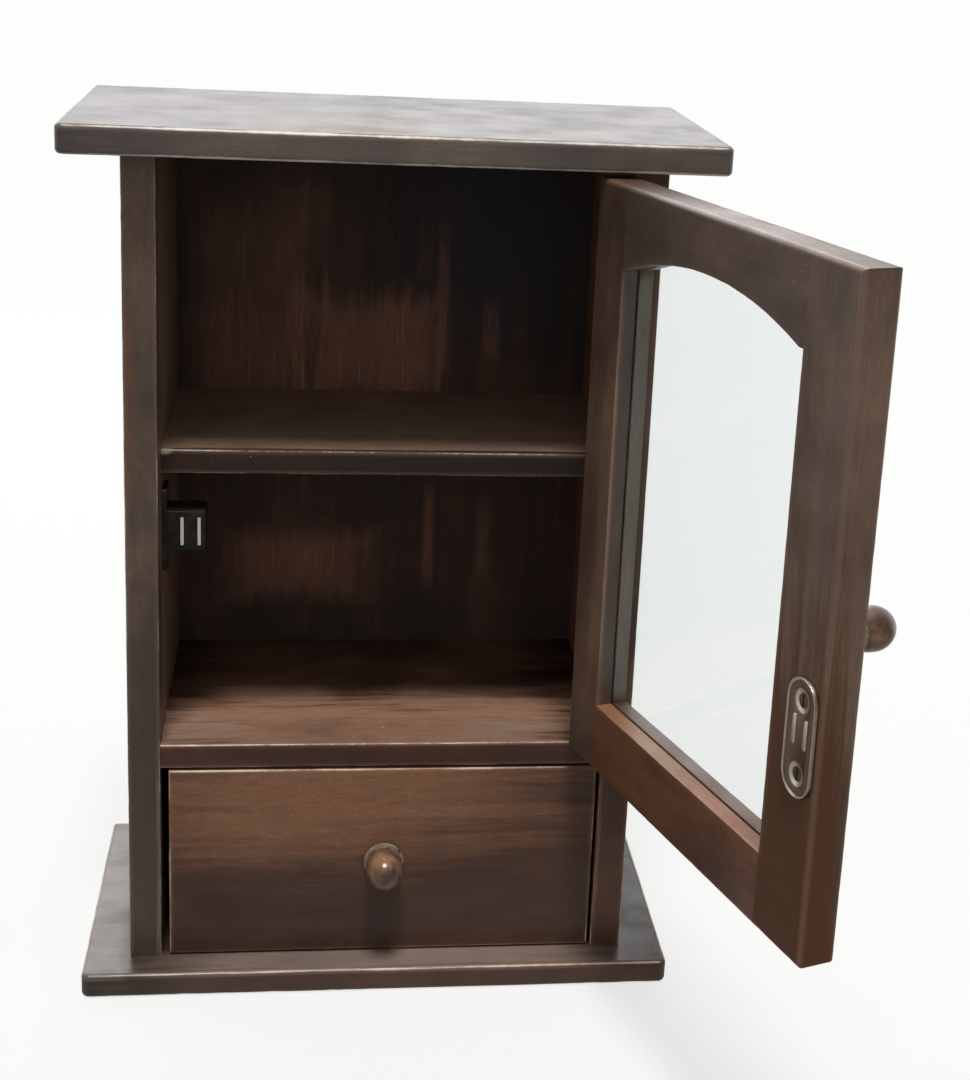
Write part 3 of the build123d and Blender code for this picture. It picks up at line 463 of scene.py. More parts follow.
@dataclass(frozen=True)
class TurnedWood:
    """Lacquered wood of a knob, with fine lathe rings and a pale ring at the collar that is partly dust and
    partly a painted highlight.
    """

    name: str
    light: Colour = tone(150, 110, 84)
    dark: Colour = tone(76, 55, 44)
    # pale tone at the collar: dust, and a painted highlight on the collar's rounding
    dust_and_highlight: Colour = tone(190, 176, 160)

    def make(self, root: Vector, outward: Vector, length: float) -> bpy.types.Material:
        """Builds the material.

        Args:
            root: Where the knob meets the wood.
            outward: The direction in which it points.
            length: How far it stands out.

        Returns:
            The new material.
        """
        recipe = Recipe(self.name)
        place = recipe.place()
        share = recipe.measure("DOT_PRODUCT", recipe.vector("SUBTRACT", place, root), outward) / length
        cloud = recipe.noise(place, 95.0, 3.0, 0.5, 0.4)
        grime = recipe.noise(place, 420.0, 4.0, 0.6)
        lathe_inputs = {"W": share, "Scale": 60.0, "Detail": 2.0}
        lathe = recipe.value("ShaderNodeTexNoise", {"noise_dimensions": "1D"}, lathe_inputs)
        colour = recipe.mix(cloud.rise(0.35, 0.65), self.light, self.dark)
        colour = recipe.mix(share.rise(0.35, 0.1, 0.7), colour, self.dark)
        # a pale ring over the collar and the bead: partly dust, partly a painted highlight
        dust_and_sheen = share.rise(0.02, 0.08) * share.rise(0.21, 0.15) * grime.rise(0.3, 0.6, 0.65)
        colour = recipe.mix(dust_and_sheen, colour, self.dust_and_highlight)
        return recipe.finish({
            "Base Color": recipe.mix(grime.rise(0.55, 0.8, 0.5), colour, self.dark),
            "Roughness": grime * 0.2 + 0.2,
            "Coat Weight": 0.6,
            "Coat Roughness": 0.2,
            "Normal": recipe.bump(lathe * 0.5 + grime * 0.4, 0.05 * MM, 0.5),
        })


@dataclass(frozen=True)
class WornMetal:
    """Plated or plain metal with stains and fine scratches."""

    name: str
    clean: Colour
    stained: Colour
    roughness: float = 0.3
    stain: float = 0.5
    # on the strike plate the low tone is dark brown: partly patina, partly a painted reflection of the wood
    # around it
    field: Colour | None = None  # tone of the parts that lie low, where the piece marks its relief
    metallic: float = 1.0  # lower where the plating is dull and chalky

    def make(self) -> bpy.types.Material:
        """Builds the material."""
        recipe = Recipe(self.name)
        place = recipe.place()
        cloud = recipe.noise(place, 300.0, 4.0, 0.62)
        scratch = recipe.noise(recipe.drawn(place, Axis.Z, 0.06), 3200.0, 2.0, 0.5)
        pits = recipe.cells(place, 1900.0).rise(0.2, 0.1)
        colour = recipe.mix(cloud.rise(0.62 - 0.3 * self.stain, 0.8, self.stain), self.clean, self.stained)
        colour = recipe.mix(pits * cloud * 0.5, colour, self.stained)
        if self.field is not None:
            field_colour = recipe.mix(cloud.rise(0.4, 0.8, 0.5), self.field, self.stained)
            colour = recipe.mix(recipe.attribute(ARRIS).rise(0.1, 0.7), field_colour, colour)
        return recipe.finish({
            "Base Color": colour,
            "Metallic": self.metallic,
            "Roughness": cloud * 0.3 + (self.roughness - 0.12),
            "Normal": recipe.bump(scratch * 0.5 - pits * 0.4, 0.02 * MM, 0.5),
        })


@dataclass(frozen=True)
class CatchShell:
    """Dull dark plastic of the catch's housing, with a moulded grain and dust in its corners."""

    name: str = "catch_shell"
    dark: Colour = tone(30, 24, 22)
    dust_and_sheen: Colour = tone(58, 47, 41)

    def make(self) -> bpy.types.Material:
        """Builds the material."""
        recipe = Recipe(self.name)
        place = recipe.place()
        cloud = recipe.noise(place, 240.0, 4.0, 0.6)
        return recipe.finish({
            "Base Color": recipe.mix(cloud.rise(0.42, 0.75), self.dark, self.dust_and_sheen),
            "Roughness": cloud * 0.3 + 0.4,
            "Specular IOR Level": 0.4,
            "Normal": recipe.bump(recipe.noise(place, 3200.0, 2.0), 0.03 * MM, 0.5),
        })


@dataclass(frozen=True)
class Pane:
    """Old clear glass, faintly green and slightly uneven."""

    name: str = "window_glass"
    tint: Colour = tone(251, 255, 254)

    def make(self) -> bpy.types.Material:
        """Builds the material."""
        recipe = Recipe(self.name)
        place = recipe.place()
        return recipe.finish({
            "Base Color": self.tint,
            "Roughness": recipe.noise(place, 60.0, 3.0).rise(0.5, 0.9, 0.03),
            "Transmission Weight": 1.0,
            "IOR": 1.45,
            "Normal": recipe.bump(recipe.noise(place, 22.0, 2.0), 0.2 * MM, 0.3),
        })


# ---- The bench: tools for the shapes ----
@dataclass(frozen=True)
class Swing:
    """The door's turn from shut to its rest pose, about the upright hinge axis."""

    axis: Vector
    angle: float

    @classmethod
    def from_joint(cls, name: str) -> "Swing":
        """Reads a hinge of the frame whose lower limit is the shut door."""
        joint = next(joint for joint in frame["joints"] if joint["name"] == name)
        return cls(Vector((*joint["pos_m"][:2], 0.0)), -math.radians(joint["range_deg"][0]))

    def matrix(self, share: float = 1.0) -> Matrix:
        """The turn as a matrix, or a share of it; -1 shuts the door."""
        there = Matrix.Translation(self.axis)
        return there @ Matrix.Rotation(self.angle * share, 4, "Z") @ there.inverted()

    def shut_box(self, node: str) -> Box:
        """The box of a node of the door, with the door shut.

        Args:
            node: The node's name.

        Returns:
            The lowest and the highest corner.
        """
        back = self.matrix(-1.0)
        corners = np.array([back @ vertex.co for vertex in frame["nodes"][node].data.vertices])
        return Vector(corners.min(axis=0)), Vector(corners.max(axis=0))


class Part(Enum):
    """What an edit-mode operator works on."""

    POINTS = "VERT"
    EDGES = "EDGE"
    FACES = "FACE"


class Bench:
    """Shapes meshes with primitives and edit-mode operators, as by hand."""

    @staticmethod
    def take(*objects: Piece) -> None:
        """Selects these objects alone.

        Args:
            objects: The objects; the first one becomes the active one.
        """
        bpy.ops.object.select_all(action="DESELECT")
        for obj in objects:
            obj.select_set(True)
        if objects:
            bpy.context.view_layer.objects.active = objects[0]

    @staticmethod
    def settle(name: str) -> Piece:
        """Names the new primitive and moves its place into its mesh.

        Args:
            name: The piece's name.

        Returns:
            The piece.
        """
        piece = bpy.context.active_object
        piece.name = name
        piece.data.name = name
        bpy.ops.object.transform_apply(location=True, rotation=True, scale=True)
        return piece

    @classmethod
    def cube(cls, name: str, low: Vector, high: Vector) -> Piece:
        """A block.

        Args:
            name: The piece's name.
            low: Its lowest corner.
            high: Its highest corner.

        Returns:
            The block.
        """
        cls.take()
        bpy.ops.mesh.primitive_cube_add(size=1.0, location=(low + high) / 2, scale=high - low)
        return cls.settle(name)

    @classmethod
    def rod(cls, name: str, centre: Vector, radius: float, length: float, sides: int) -> Piece:
        """A round rod that runs from front to back.

        Args:
            name: The piece's name.
            centre: Its middle.
            radius: Its radius.
            length: Its length.
            sides: How many faces go round it.

        Returns:
            The rod.
        """
        cls.take()
        bpy.ops.mesh.primitive_cylinder_add(
            vertices=sides, radius=radius, depth=length, location=centre, rotation=(math.pi / 2, 0.0, 0.0)
        )
        return cls.settle(name)

    @classmethod
    @contextmanager
    def editing(cls, piece: Piece, part: Part, action: str = "DESELECT") -> Iterator[None]:
        """Edit mode on one piece.

        Args:
            piece: The piece.
            part: What is selected in it.
            action: SELECT to start with all of it selected, or DESELECT.
        """
        cls.take(piece)
        bpy.ops.object.mode_set(mode="EDIT")
        bpy.ops.mesh.select_mode(type=part.value)
        bpy.ops.mesh.select_all(action=action)
        try:
            yield
        finally:
            bpy.ops.object.mode_set(mode="OBJECT")

    @staticmethod
    def pick(piece: Piece, part: Part, chosen: Chooser) -> None:
        """Selects what passes the test in a piece in edit mode.

        Args:
            piece: The piece.
            part: Points, edges or faces.
            chosen: The test of the middle of each.
        """
        mesh = bmesh.from_edit_mesh(piece.data)
        found = {Part.POINTS: mesh.verts, Part.EDGES: mesh.edges, Part.FACES: mesh.faces}[part]
        for one in found:
            corners = [one.co] if part is Part.POINTS else [vertex.co for vertex in one.verts]
            one.select_set(chosen(sum(corners, Vector()) / len(corners)))
        mesh.select_flush_mode()
        bmesh.update_edit_mesh(piece.data)

    @classmethod
    def round_edges(cls, piece: Piece, radius: float, segments: int, chosen: Chooser) -> None:
        """Rounds some of a piece's edges.

        Args:
            piece: The piece.
            radius: The rounding.
            segments: How many faces it has.
            chosen: The test of an edge's middle.
        """
        with cls.editing(piece, Part.EDGES):
            cls.pick(piece, Part.EDGES, chosen)
            bpy.ops.mesh.bevel(offset=radius, segments=segments, profile=0.5, affect="EDGES")

    @classmethod
    def combine(cls, piece: Piece, tool: Piece, operation: str = "DIFFERENCE") -> None:
        """Takes a tool's shape out of a piece, or joins it on, and throws the tool away.

        Args:
            piece: The piece.
            tool: The other shape.
            operation: DIFFERENCE or UNION.
        """
        modifier = piece.modifiers.new("combine", "BOOLEAN")
        modifier.operation = operation
        modifier.solver = "EXACT"
        modifier.object = tool
        cls.take(piece)
        bpy.ops.object.modifier_apply(modifier=modifier.name)
        bpy.data.objects.remove(tool)

    @classmethod
    def recess(cls, piece: Piece, low: Vector, high: Vector) -> None:
        """Cuts a square recess between two corners."""
        cls.combine(piece, cls.cube("recess", low, high))

    @classmethod
    def bore(cls, piece: Piece, outline: Outline, root: Vector, outward: Vector) -> None:
        """Cuts a turned shape out of a piece, drawn as for turned()."""
        cls.combine(piece, cls.turned("bore", outline, root, outward))

    @classmethod
    def turned(cls, name: str, outline: Outline, root: Vector, outward: Vector) -> Piece:
        """A turned shape.

        Args:
            name: The piece's name.
            outline: (radius, height) points from the axis, round the shape and back to it.
            root: Where the axis starts.
            outward: The direction of the axis.

        Returns:
            The piece, closed at both poles.
        """
        cls.take()
        bpy.ops.mesh.primitive_plane_add(size=MM)
        piece = cls.settle(name)
        with cls.editing(piece, Part.POINTS, "SELECT"):
            bpy.ops.mesh.merge(type="CENTER")
            bpy.ops.transform.translate(value=(outline[0][0], 0.0, outline[0][1]))
            for (radius, height), (last_radius, last_height) in zip(outline[1:], outline, strict=False):
                step = (radius - last_radius, 0.0, height - last_height)
                bpy.ops.mesh.extrude_vertices_move(TRANSFORM_OT_translate={"value": step})
            bpy.ops.mesh.select_all(action="SELECT")
            bpy.ops.mesh.spin(steps=56, angle=math.tau, center=(0, 0, 0), axis=(0, 0, 1))
            bpy.ops.mesh.select_all(action="SELECT")
            bpy.ops.mesh.remove_doubles(threshold=MERGE)
            bpy.ops.mesh.normals_make_consistent(inside=False)
        turn = Vector((0, 0, 1)).rotation_difference(outward).to_matrix().to_4x4()
        piece.data.transform(Matrix.Translation(root) @ turn)
        return piece

    @classmethod
    def close(cls, piece: Piece) -> None:
        """Merges the vertices that share a place and fills any pinhole left by a cut.

        Args:
            piece: The piece to mend.
        """
        with cls.editing(piece, Part.POINTS, "SELECT"):
            bpy.ops.mesh.remove_doubles(threshold=MERGE)
            bpy.ops.mesh.fill_holes(sides=6)

    @classmethod
    def smooth(cls, piece: Piece) -> None:
        """Smooth shading with crisp edges."""
        cls.take(piece)
        bpy.ops.object.shade_smooth_by_angle(angle=SMOOTH_ANGLE)


def show(piece: Piece, body: str, slot: str, material: bpy.types.Material, *nodes: str) -> None:
    """Gives a finished piece its material and its place in the part.

    Args:
        piece: The piece.
        body: The body that it rides on.
        slot: The slot of its finish; not used.
        material: The finish.
        nodes: The nodes that it stands for.
    """
    piece.data.materials.clear()
    piece.data.materials.append(material)
    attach(piece, body)
    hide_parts(*nodes)
    log.info("%s rides on %s: %d faces", piece.name, body, len(piece.data.polygons))


def nodes_finish(material: bpy.types.Material, *nodes: str) -> None:
    """Puts a finish on nodes whose own shape is shown.

    Args:
        material: The finish.
        nodes: The nodes' names.
    """
    for name in nodes:
        for place in frame["nodes"][name].material_slots:
            place.material = material
    log.info("%s on %s", material.name, ", ".join(nodes))


# ---- Wood members ----
SEAT = 0.15 * MM  # room round a hinge leaf
DULL = {"specular": 0.2, "coat": 0.0, "roughness": 0.6}  # wood that was never varnished
PANE_DUST_AND_SHEEN = tone(150, 142, 134)  # wood as it looks through the pane's rim: grey that is partly dust on the pane and partly a painted reflection in it


def distance_to(point: Vector, segment: Segment) -> float:
    """How far a point lies from a straight line.

    Args:
        point: The point.
        segment: The line's two ends.

    Returns:
        The distance.
    """
    start, end = segment
    run = end - start
    along = min(1.0, max(0.0, (point - start).dot(run) / run.length_squared))
    return (point - start - run * along).length


def same(value: float, *targets: float) -> bool:
    """True where a coordinate lies on one of the given planes."""
    return any(abs(value - target) < HAIR for target in targets)


def joined(points: list[Vector]) -> list[Segment]:
    """The straight lines from each point to the next."""
    return list(zip(points, points[1:], strict=False))


def box_arrises(low: Vector, high: Vector, chosen: EdgeChooser) -> list[Segment]:
    """Some of the edges of a box.

    Args:
        low: The box's lowest corner.
        high: Its highest corner.
        chosen: The test of an edge's middle and direction.

    Returns:
        The edges that pass.
    """
    found = []
    for axis in Axis:
        others = [index for index in range(3) if index != axis.value]
        for first in (low, high):
            for second in (low, high):
                start, end = low.copy(), high.copy()
                for index, side in zip(others, (first, second), strict=True):
                    start[index] = end[index] = side[index]
                if chosen((start + end) / 2, axis):
                    found.append((start, end))
    return found


@dataclass
class Member:
    """A planed board, stile or rail, from its blank to the worn piece."""

    node: str
    low: Vector
    high: Vector
    arris_radius: float
    dents: float = 0.13 * MM  # deepest nick in an arris
    dented_from: float = 0.7  # nearness to an arris from which it can be dented
    pitch: float = 3.0 * MM  # spacing of the mesh
    end_pitch: float = 2.13 * MM  # how far its last line lies from each end
    narrow: float = 20 * MM  # narrower sides have no such line
    arrises: list[Segment] = field(default_factory=list)
    piece: Piece = field(init=False)

    def __post_init__(self) -> None:
        """Saws the blank to its size."""
        self.piece = Bench.cube(self.node.replace("_board", "") + "_worn", self.low, self.high)

    @classmethod
    def rounded(cls, node: str, box: Box, radius: float, chosen: EdgeChooser) -> "Member":
        """Saws a blank and rounds its open arrises.

        Args:
            node: The node that it stands for.
            box: Its lowest and its highest corner.
            radius: The rounding.
            chosen: The test that the middle and the direction of an open arris pass.

        Returns:
            The member.
        """
        member = cls(node, *box, radius, arrises=box_arrises(*box, chosen))
        Bench.round_edges(member.piece, radius, 3, member.on_arris)
        return member

    def on_arris(self, point: Vector) -> bool:
        """True on one of the open arrises."""
        return any(distance_to(point, segment) < HAIR for segment in self.arrises)

    def lines(self, index: int) -> list[float]:
        """Where the mesh is divided in one direction: evenly, and close by both ends.

        Args:
            index: The direction's number.

        Returns:
            The coordinates.
        """
        low, high = self.low[index], self.high[index]
        count = max(1, round((high - low) / self.pitch))
        even = [low + (high - low) * step / count for step in range(1, count)]
        if high - low < self.narrow:
            return even
        return [low + self.end_pitch, high - self.end_pitch, *even]

    def divide(self) -> None:
        """Divides the whole surface, so that it can be worn and can carry its arris lines."""
        for axis in Axis:
            with Bench.editing(self.piece, Part.EDGES):
                for where in self.lines(axis.value):
                    bpy.ops.mesh.select_all(action="SELECT")
                    bpy.ops.mesh.bisect(plane_co=axis.unit * where, plane_no=axis.unit)

    def mark_arrises(self) -> None:
        """Writes how near each vertex is to an open arris."""
        mesh = self.piece.data
        points = np.empty(len(mesh.vertices) * 3)
        mesh.vertices.foreach_get("co", points)
        points = points.reshape(-1, 3)
        away = np.full(len(points), ARRIS_REACH)
        for start, end in self.arrises:
            origin, run = np.array(start), np.array(end - start)
            along = np.clip((points - origin) @ run / (run @ run), 0.0, 1.0)
            away = np.minimum(away, np.linalg.norm(points - origin - along[:, None] * run, axis=1))
        rounding = (math.sqrt(2) - 1) * self.arris_radius  # how far it lies inside the corner
        nearness = np.clip(1.0 - (away - rounding) / ARRIS_REACH, 0.0, 1.0)
        mesh.attributes.new(ARRIS, "FLOAT", "POINT").data.foreach_set("value", nearness)
        group = self.piece.vertex_groups.new(name=ARRIS)
        for index, value in enumerate(nearness):
            if value > self.dented_from:
                group.add([index], (value - self.dented_from) / (1.0 - self.dented_from), "REPLACE")

    def wear(self) -> None:
        """Knocks shallow dents into the arrises and leaves the faces a little uneven."""
        for name, size, depth, untouched, group in (
            ("dents", 5.5 * MM, self.dents, 0.45, ARRIS),
            ("plane_marks", 26 * MM, 0.08 * MM, 0.8, ""),
        ):
            texture = bpy.data.textures.new(name, "CLOUDS")
            texture.noise_scale = size
            texture.noise_depth = 2
            texture.use_color_ramp = True
            stops = texture.color_ramp.elements
            for stop, place, level in zip(stops, (0.2, untouched), (0.0, 1.0), strict=True):
                stop.position = place
                stop.color = (level, level, level, 1.0)
            modifier = self.piece.modifiers.new(name, "DISPLACE")
            modifier.texture = texture
            modifier.strength = depth
            modifier.mid_level = 1.0
            modifier.vertex_group = group
            Bench.take(self.piece)
            bpy.ops.object.modifier_apply(modifier=modifier.name)

    def complete(self) -> Piece:
        """Divides, marks, wears and smooths the shaped member."""
        self.divide()
        self.mark_arrises()
        self.wear()
        Bench.smooth(self.piece)
        return self.piece


@dataclass
class Case:
    """The boards of the case."""

    body: str = "case"
    board_corner: float = 3.5 * MM
    board_arris: float = 1.8 * MM
    board_dents: float = 0.22 * MM
    panel_arris: float = 0.8 * MM
    screw_head: float = 3.2 * MM  # radius of a base screw's head
    screw_hole: Triple = (3.25 * MM, 1.65 * MM, 12 * MM)  # mouth, neck and depth
    # where the back is paler: partly thin stain, partly painted light and painted streaks of light; x, z,
    # reach across, reach up, strength
    back_patches: tuple[tuple[float, float, float, float, float], ...] = (
        (-0.0065, 0.238, 0.044, 0.034, 0.6),
        (0.012, 0.240, 0.018, 0.03, 0.35),
        (-0.055, 0.255, 0.036, 0.07, 0.4),
        (-0.034, 0.138, 0.046, 0.022, 0.5),
        (0.0247, 0.2576, 0.0035, 0.046, 0.6),
        (0.046, 0.2475, 0.005, 0.02, 0.5),
        (0.0215, 0.155, 0.0035, 0.034, 0.45),
        (0.046, 0.15, 0.005, 0.03, 0.3),
    )

    def overhanging(self, node: str) -> Member:
        """The base or the top board: round front corners and soft arrises, square at the back.

        Args:
            node: The board's node.

        Returns:
            The shaped board, not worn yet.
        """
        low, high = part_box(node)
        member = Member(node, low, high, self.board_arris, self.board_dents)
        Bench.round_edges(
            member.piece, self.board_corner, 6, lambda c: same(abs(c.x), high.x) and same(c.y, low.y)
        )
        member.arrises = box_arrises(low, high, lambda c, axis: axis is not Axis.Z)
        Bench.round_edges(
            member.piece, self.board_arris, 4, lambda c: same(c.z, low.z, high.z) and not same(c.y, high.y)
        )
        return member

    def base_board(self) -> None:
        """The base board, with its four countersunk holes below."""
        member = self.overhanging("base_board")
        first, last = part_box("base_screws")
        mouth, neck, deep = self.screw_hole
        throat = first.z + mouth - neck
        outline = [(0, -MM), (mouth, -MM), (mouth, first.z), (neck, throat), (neck, deep), (0, deep)]
        for x in (first.x + self.screw_head, last.x - self.screw_head):
            for y in (first.y + self.screw_head, last.y - self.screw_head):
                Bench.bore(member.piece, outline, Vector((x, y, 0)), Axis.Z.unit)
        low, high = member.low, member.high
        top, middle = high.z, (low.z + high.z) / 2
        # a greyer band along the front of the top: painted sheen
        lip = Vector((0.0, low.y + 7 * MM, top))
        strip = Patch(lip, (0.11, 0.011, 0.0022), 0.5, tone(166, 146, 134), 0.5, True, 0.6)
        left, right = ((x, 0.0, top) for x in (low.x + 4 * MM, high.x - 4 * MM))
        # the left end of the top paler: painted sheen
        pale = Patch(left, (0.016, 0.09, 0.003), 0.35, tone(176, 170, 162), 0.4, True, 0.4)
        # the right end of the top darker: painted shade where the door cuts off light and sheen
        dim = Patch(right, (0.016, 0.09, 0.003), 0.9, tone(42, 35, 32), 0.5, True, 0.6)
        warm = Patch((0.02, low.y, middle), (0.13, 0.003, 0.006), 0.45, tone(104, 68, 50), 0.7, True)
        wood = StainedWood(
            "base_stain", tone(54, 44, 40), tone(124, 94, 74), thinness=0.2, figure=0.06, coat=0.45,
            relief=0.3, arris_width=0.8 * MM, arris_show=0.9, patches=(strip, pale, dim, warm),
            matte=Patch((high.x, 0.0, top), (0.026, 0.12, 0.003), 0.45, None, 0.6, True, 0.4),
        )
        show(member.complete(), self.body, "board_wood", wood.make(Axis.X), member.node)

    def top_board(self) -> None:
        """The top board."""
        member = self.overhanging("top_board")
        low, high = member.low, member.high
        worn = Patch((0.01, low.y + 20 * MM, high.z), (0.11, 0.034, 0.006), 0.55, tone(102, 84, 67))
        front = Patch((0.0, low.y, (low.z + high.z) / 2), (0.14, 0.003, 0.008), 0.2, soft=0.7, square=True)
        # the bare tone is paler than bare wood: the rubbed arris plus a painted highlight along it
        wood = StainedWood(
            "top_stain", tone(84, 76, 74), tone(150, 134, 122), bare=tone(238, 230, 218), thinness=0.17,
            figure=0.1, clouds=0.8, relief=0.35, specular=0.36, coat=0.28,
            arris_width=1.6 * MM, arris_show=1.0, patches=(worn, front),
        )
        show(member.complete(), self.body, "board_wood", wood.make(Axis.X), member.node)

    def side_panel(self, node: str) -> None:
        """A side panel, rebated for the back and, on the right, mortised for the hinges.

        Args:
            node: The panel's node.
        """
        low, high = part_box(node)
        is_right = low.x > 0
        inner, outer = (low.x, high.x) if is_right else (high.x, low.x)
        member = Member.rounded(
            node, (low, high), self.panel_arris,
            lambda c, axis: axis is Axis.Z and (same(c.y, low.y) or same(c.x, outer)),
        )
        back_low, back_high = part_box("back_panel")
        side = math.copysign(1.0, inner)
        near, far = sorted((inner - side * MM, back_high.x * side))
        foot, head = Vector((near, back_low.y, low.z - MM)), Vector((far, high.y + MM, high.z + MM))
        Bench.recess(member.piece, foot, head)
        if is_right:
            for leaf in ("upper_hinge_frame_leaf", "lower_hinge_frame_leaf"):
                leaf_low, leaf_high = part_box(leaf)
                Bench.recess(
                    member.piece,
                    Vector((inner - MM, low.y - MM, leaf_low.z - SEAT)),
                    Vector((leaf_high.x, leaf_high.y + SEAT, leaf_high.z + SEAT)),
                )
            dense, thin = tone(79, 54, 43), tone(148, 105, 78)
            # a grey front edge where it shows through the pane: partly dust on the pane, partly a painted
            # reflection in it
            edge = Patch((outer, low.y, 0.22), (0.014, 0.003, 0.12), 0.5, tone(112, 103, 96), 0.4)
        else:
            dense, thin = tone(78, 67, 61), tone(144, 118, 99)
            edge = Patch((outer, low.y, 0.25), (0.008, 0.004, 0.06), 0.5, tone(136, 88, 60))
        deep, low_down = (inner, low.y + 62 * MM, (low.z + high.z) / 2), (inner, low.y + 9 * MM, 0.052)
        inside = Patch(deep, (0.002, 0.058, 0.3), 0.9, soft=0.6, square=True)
        # slit: the inner face paler beside the drawer, painted light that falls into the gap
        slit = Patch(low_down, (0.002, 0.013, 0.044), 0.3, tone(190, 168, 150), 0.6, True)
        # corner: the top of the front edge paler, painted light against the top board's shadow
        corner = Patch((outer, low.y, high.z), (0.03, 0.02, 0.07), 0.35)
        wood = StainedWood(
            f"{node}_stain", dense, thin, thinness=0.2, arris_show=0.85, patches=(inside, corner, slit, edge)
        )
        show(member.complete(), self.body, "case_wood", wood.make(Axis.Z), node)

    def shelf(self, node: str, slot: str, wood: StainedWood) -> None:
        """A board between the side panels, with its front arrises open.

        Args:
            node: The board's node.
            slot: The slot of its finish.
            wood: The finish.
        """
        low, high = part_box(node)
        member = Member.rounded(
            node, (low, high), self.panel_arris, lambda c, axis: axis is Axis.X and same(c.y, low.y)
        )
        show(member.complete(), self.body, slot, wood.make(Axis.X), node)

    def divider(self) -> None:
        """The board between the drawer and the door."""
        low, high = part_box("divider_board")
        front, top = low.y, high.z
        strip = Patch((0.0, front + 14 * MM, top), (0.15, 0.04, 0.0016), 0.66, soft=0.4)
        # depth: the back part of the top paler, painted light in the dark compartment
        depth = Patch((0.0, front + 70 * MM, top), (0.1, 0.06, 0.004), 0.36, soft=0.5, square=True)
        ends = tuple(
            Patch((x, front + 12 * MM, top), (reach, 0.022, 0.0016), 0.3, tone(160, 146, 136))
            for x, reach in ((-0.074, 0.034), (0.052, 0.03))
        )
        lip = Patch((0.0, front, top - 5 * MM), (0.2, 0.002, 0.005), 0.5, tone(96, 58, 46), 0.8, True, 0.4)
        self.shelf("divider_board", "case_wood", StainedWood(
            "divider_stain", tone(52, 34, 29), tone(160, 122, 99), thinness=0.12, figure=0.1,
            arris_width=0.6 * MM, arris_show=1.0, patches=(strip, depth, lip, *ends),
        ))

    def middle_shelf(self) -> None:
        """The shelf behind the door."""
        low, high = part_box("middle_shelf")
        edge = Patch((0.0, low.y, (low.z + high.z) / 2), (0.2, 0.004, 0.02), -1.3, soft=0.6)
        chip = Patch((low.x + MM, low.y, high.z), (0.004, 0.002, 0.0025), 0.9, tone(196, 176, 160), 0.5)
        self.shelf("middle_shelf", "interior_wood", StainedWood(
            "shelf_stain", tone(58, 48, 43), tone(162, 132, 113), thinness=0.75, arris_width=0.4 * MM,
            arris_show=0.9, patches=(edge, chip), **DULL,
        ))

    def back(self) -> None:
        """The finish of the back panel."""
        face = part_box("back_panel")[0].y
        patches = [
            Patch((x, face, z), (reach_x, 0.003, reach_z), strength, soft=0.3, square=True)
            for x, z, reach_x, reach_z, strength in self.back_patches
        ]
        # a painted bluish shade over the upper right of the back, where the door's shadow falls
        painted_blue_shade = Patch((0.05, face, 0.3), (0.06, 0.003, 0.09), 0.8, tone(62, 64, 76))
        wood = StainedWood(
            "back_stain", tone(74, 60, 56), tone(158, 112, 90), bare=tone(206, 164, 138), thinness=0.12,
            figure=0.3, strokes=0.7, stroke_draw=0.025, clouds=0.9, patches=(*patches, painted_blue_shade), **DULL,
        )
        nodes_finish(wood.make(Axis.Z), "back_panel")

    def build(self) -> None:
        """Makes every board of the case."""
        self.base_board()
        self.top_board()
        self.side_panel("left_side_panel")
        self.side_panel("right_side_panel")
        self.divider()
        self.middle_shelf()
        self.back()


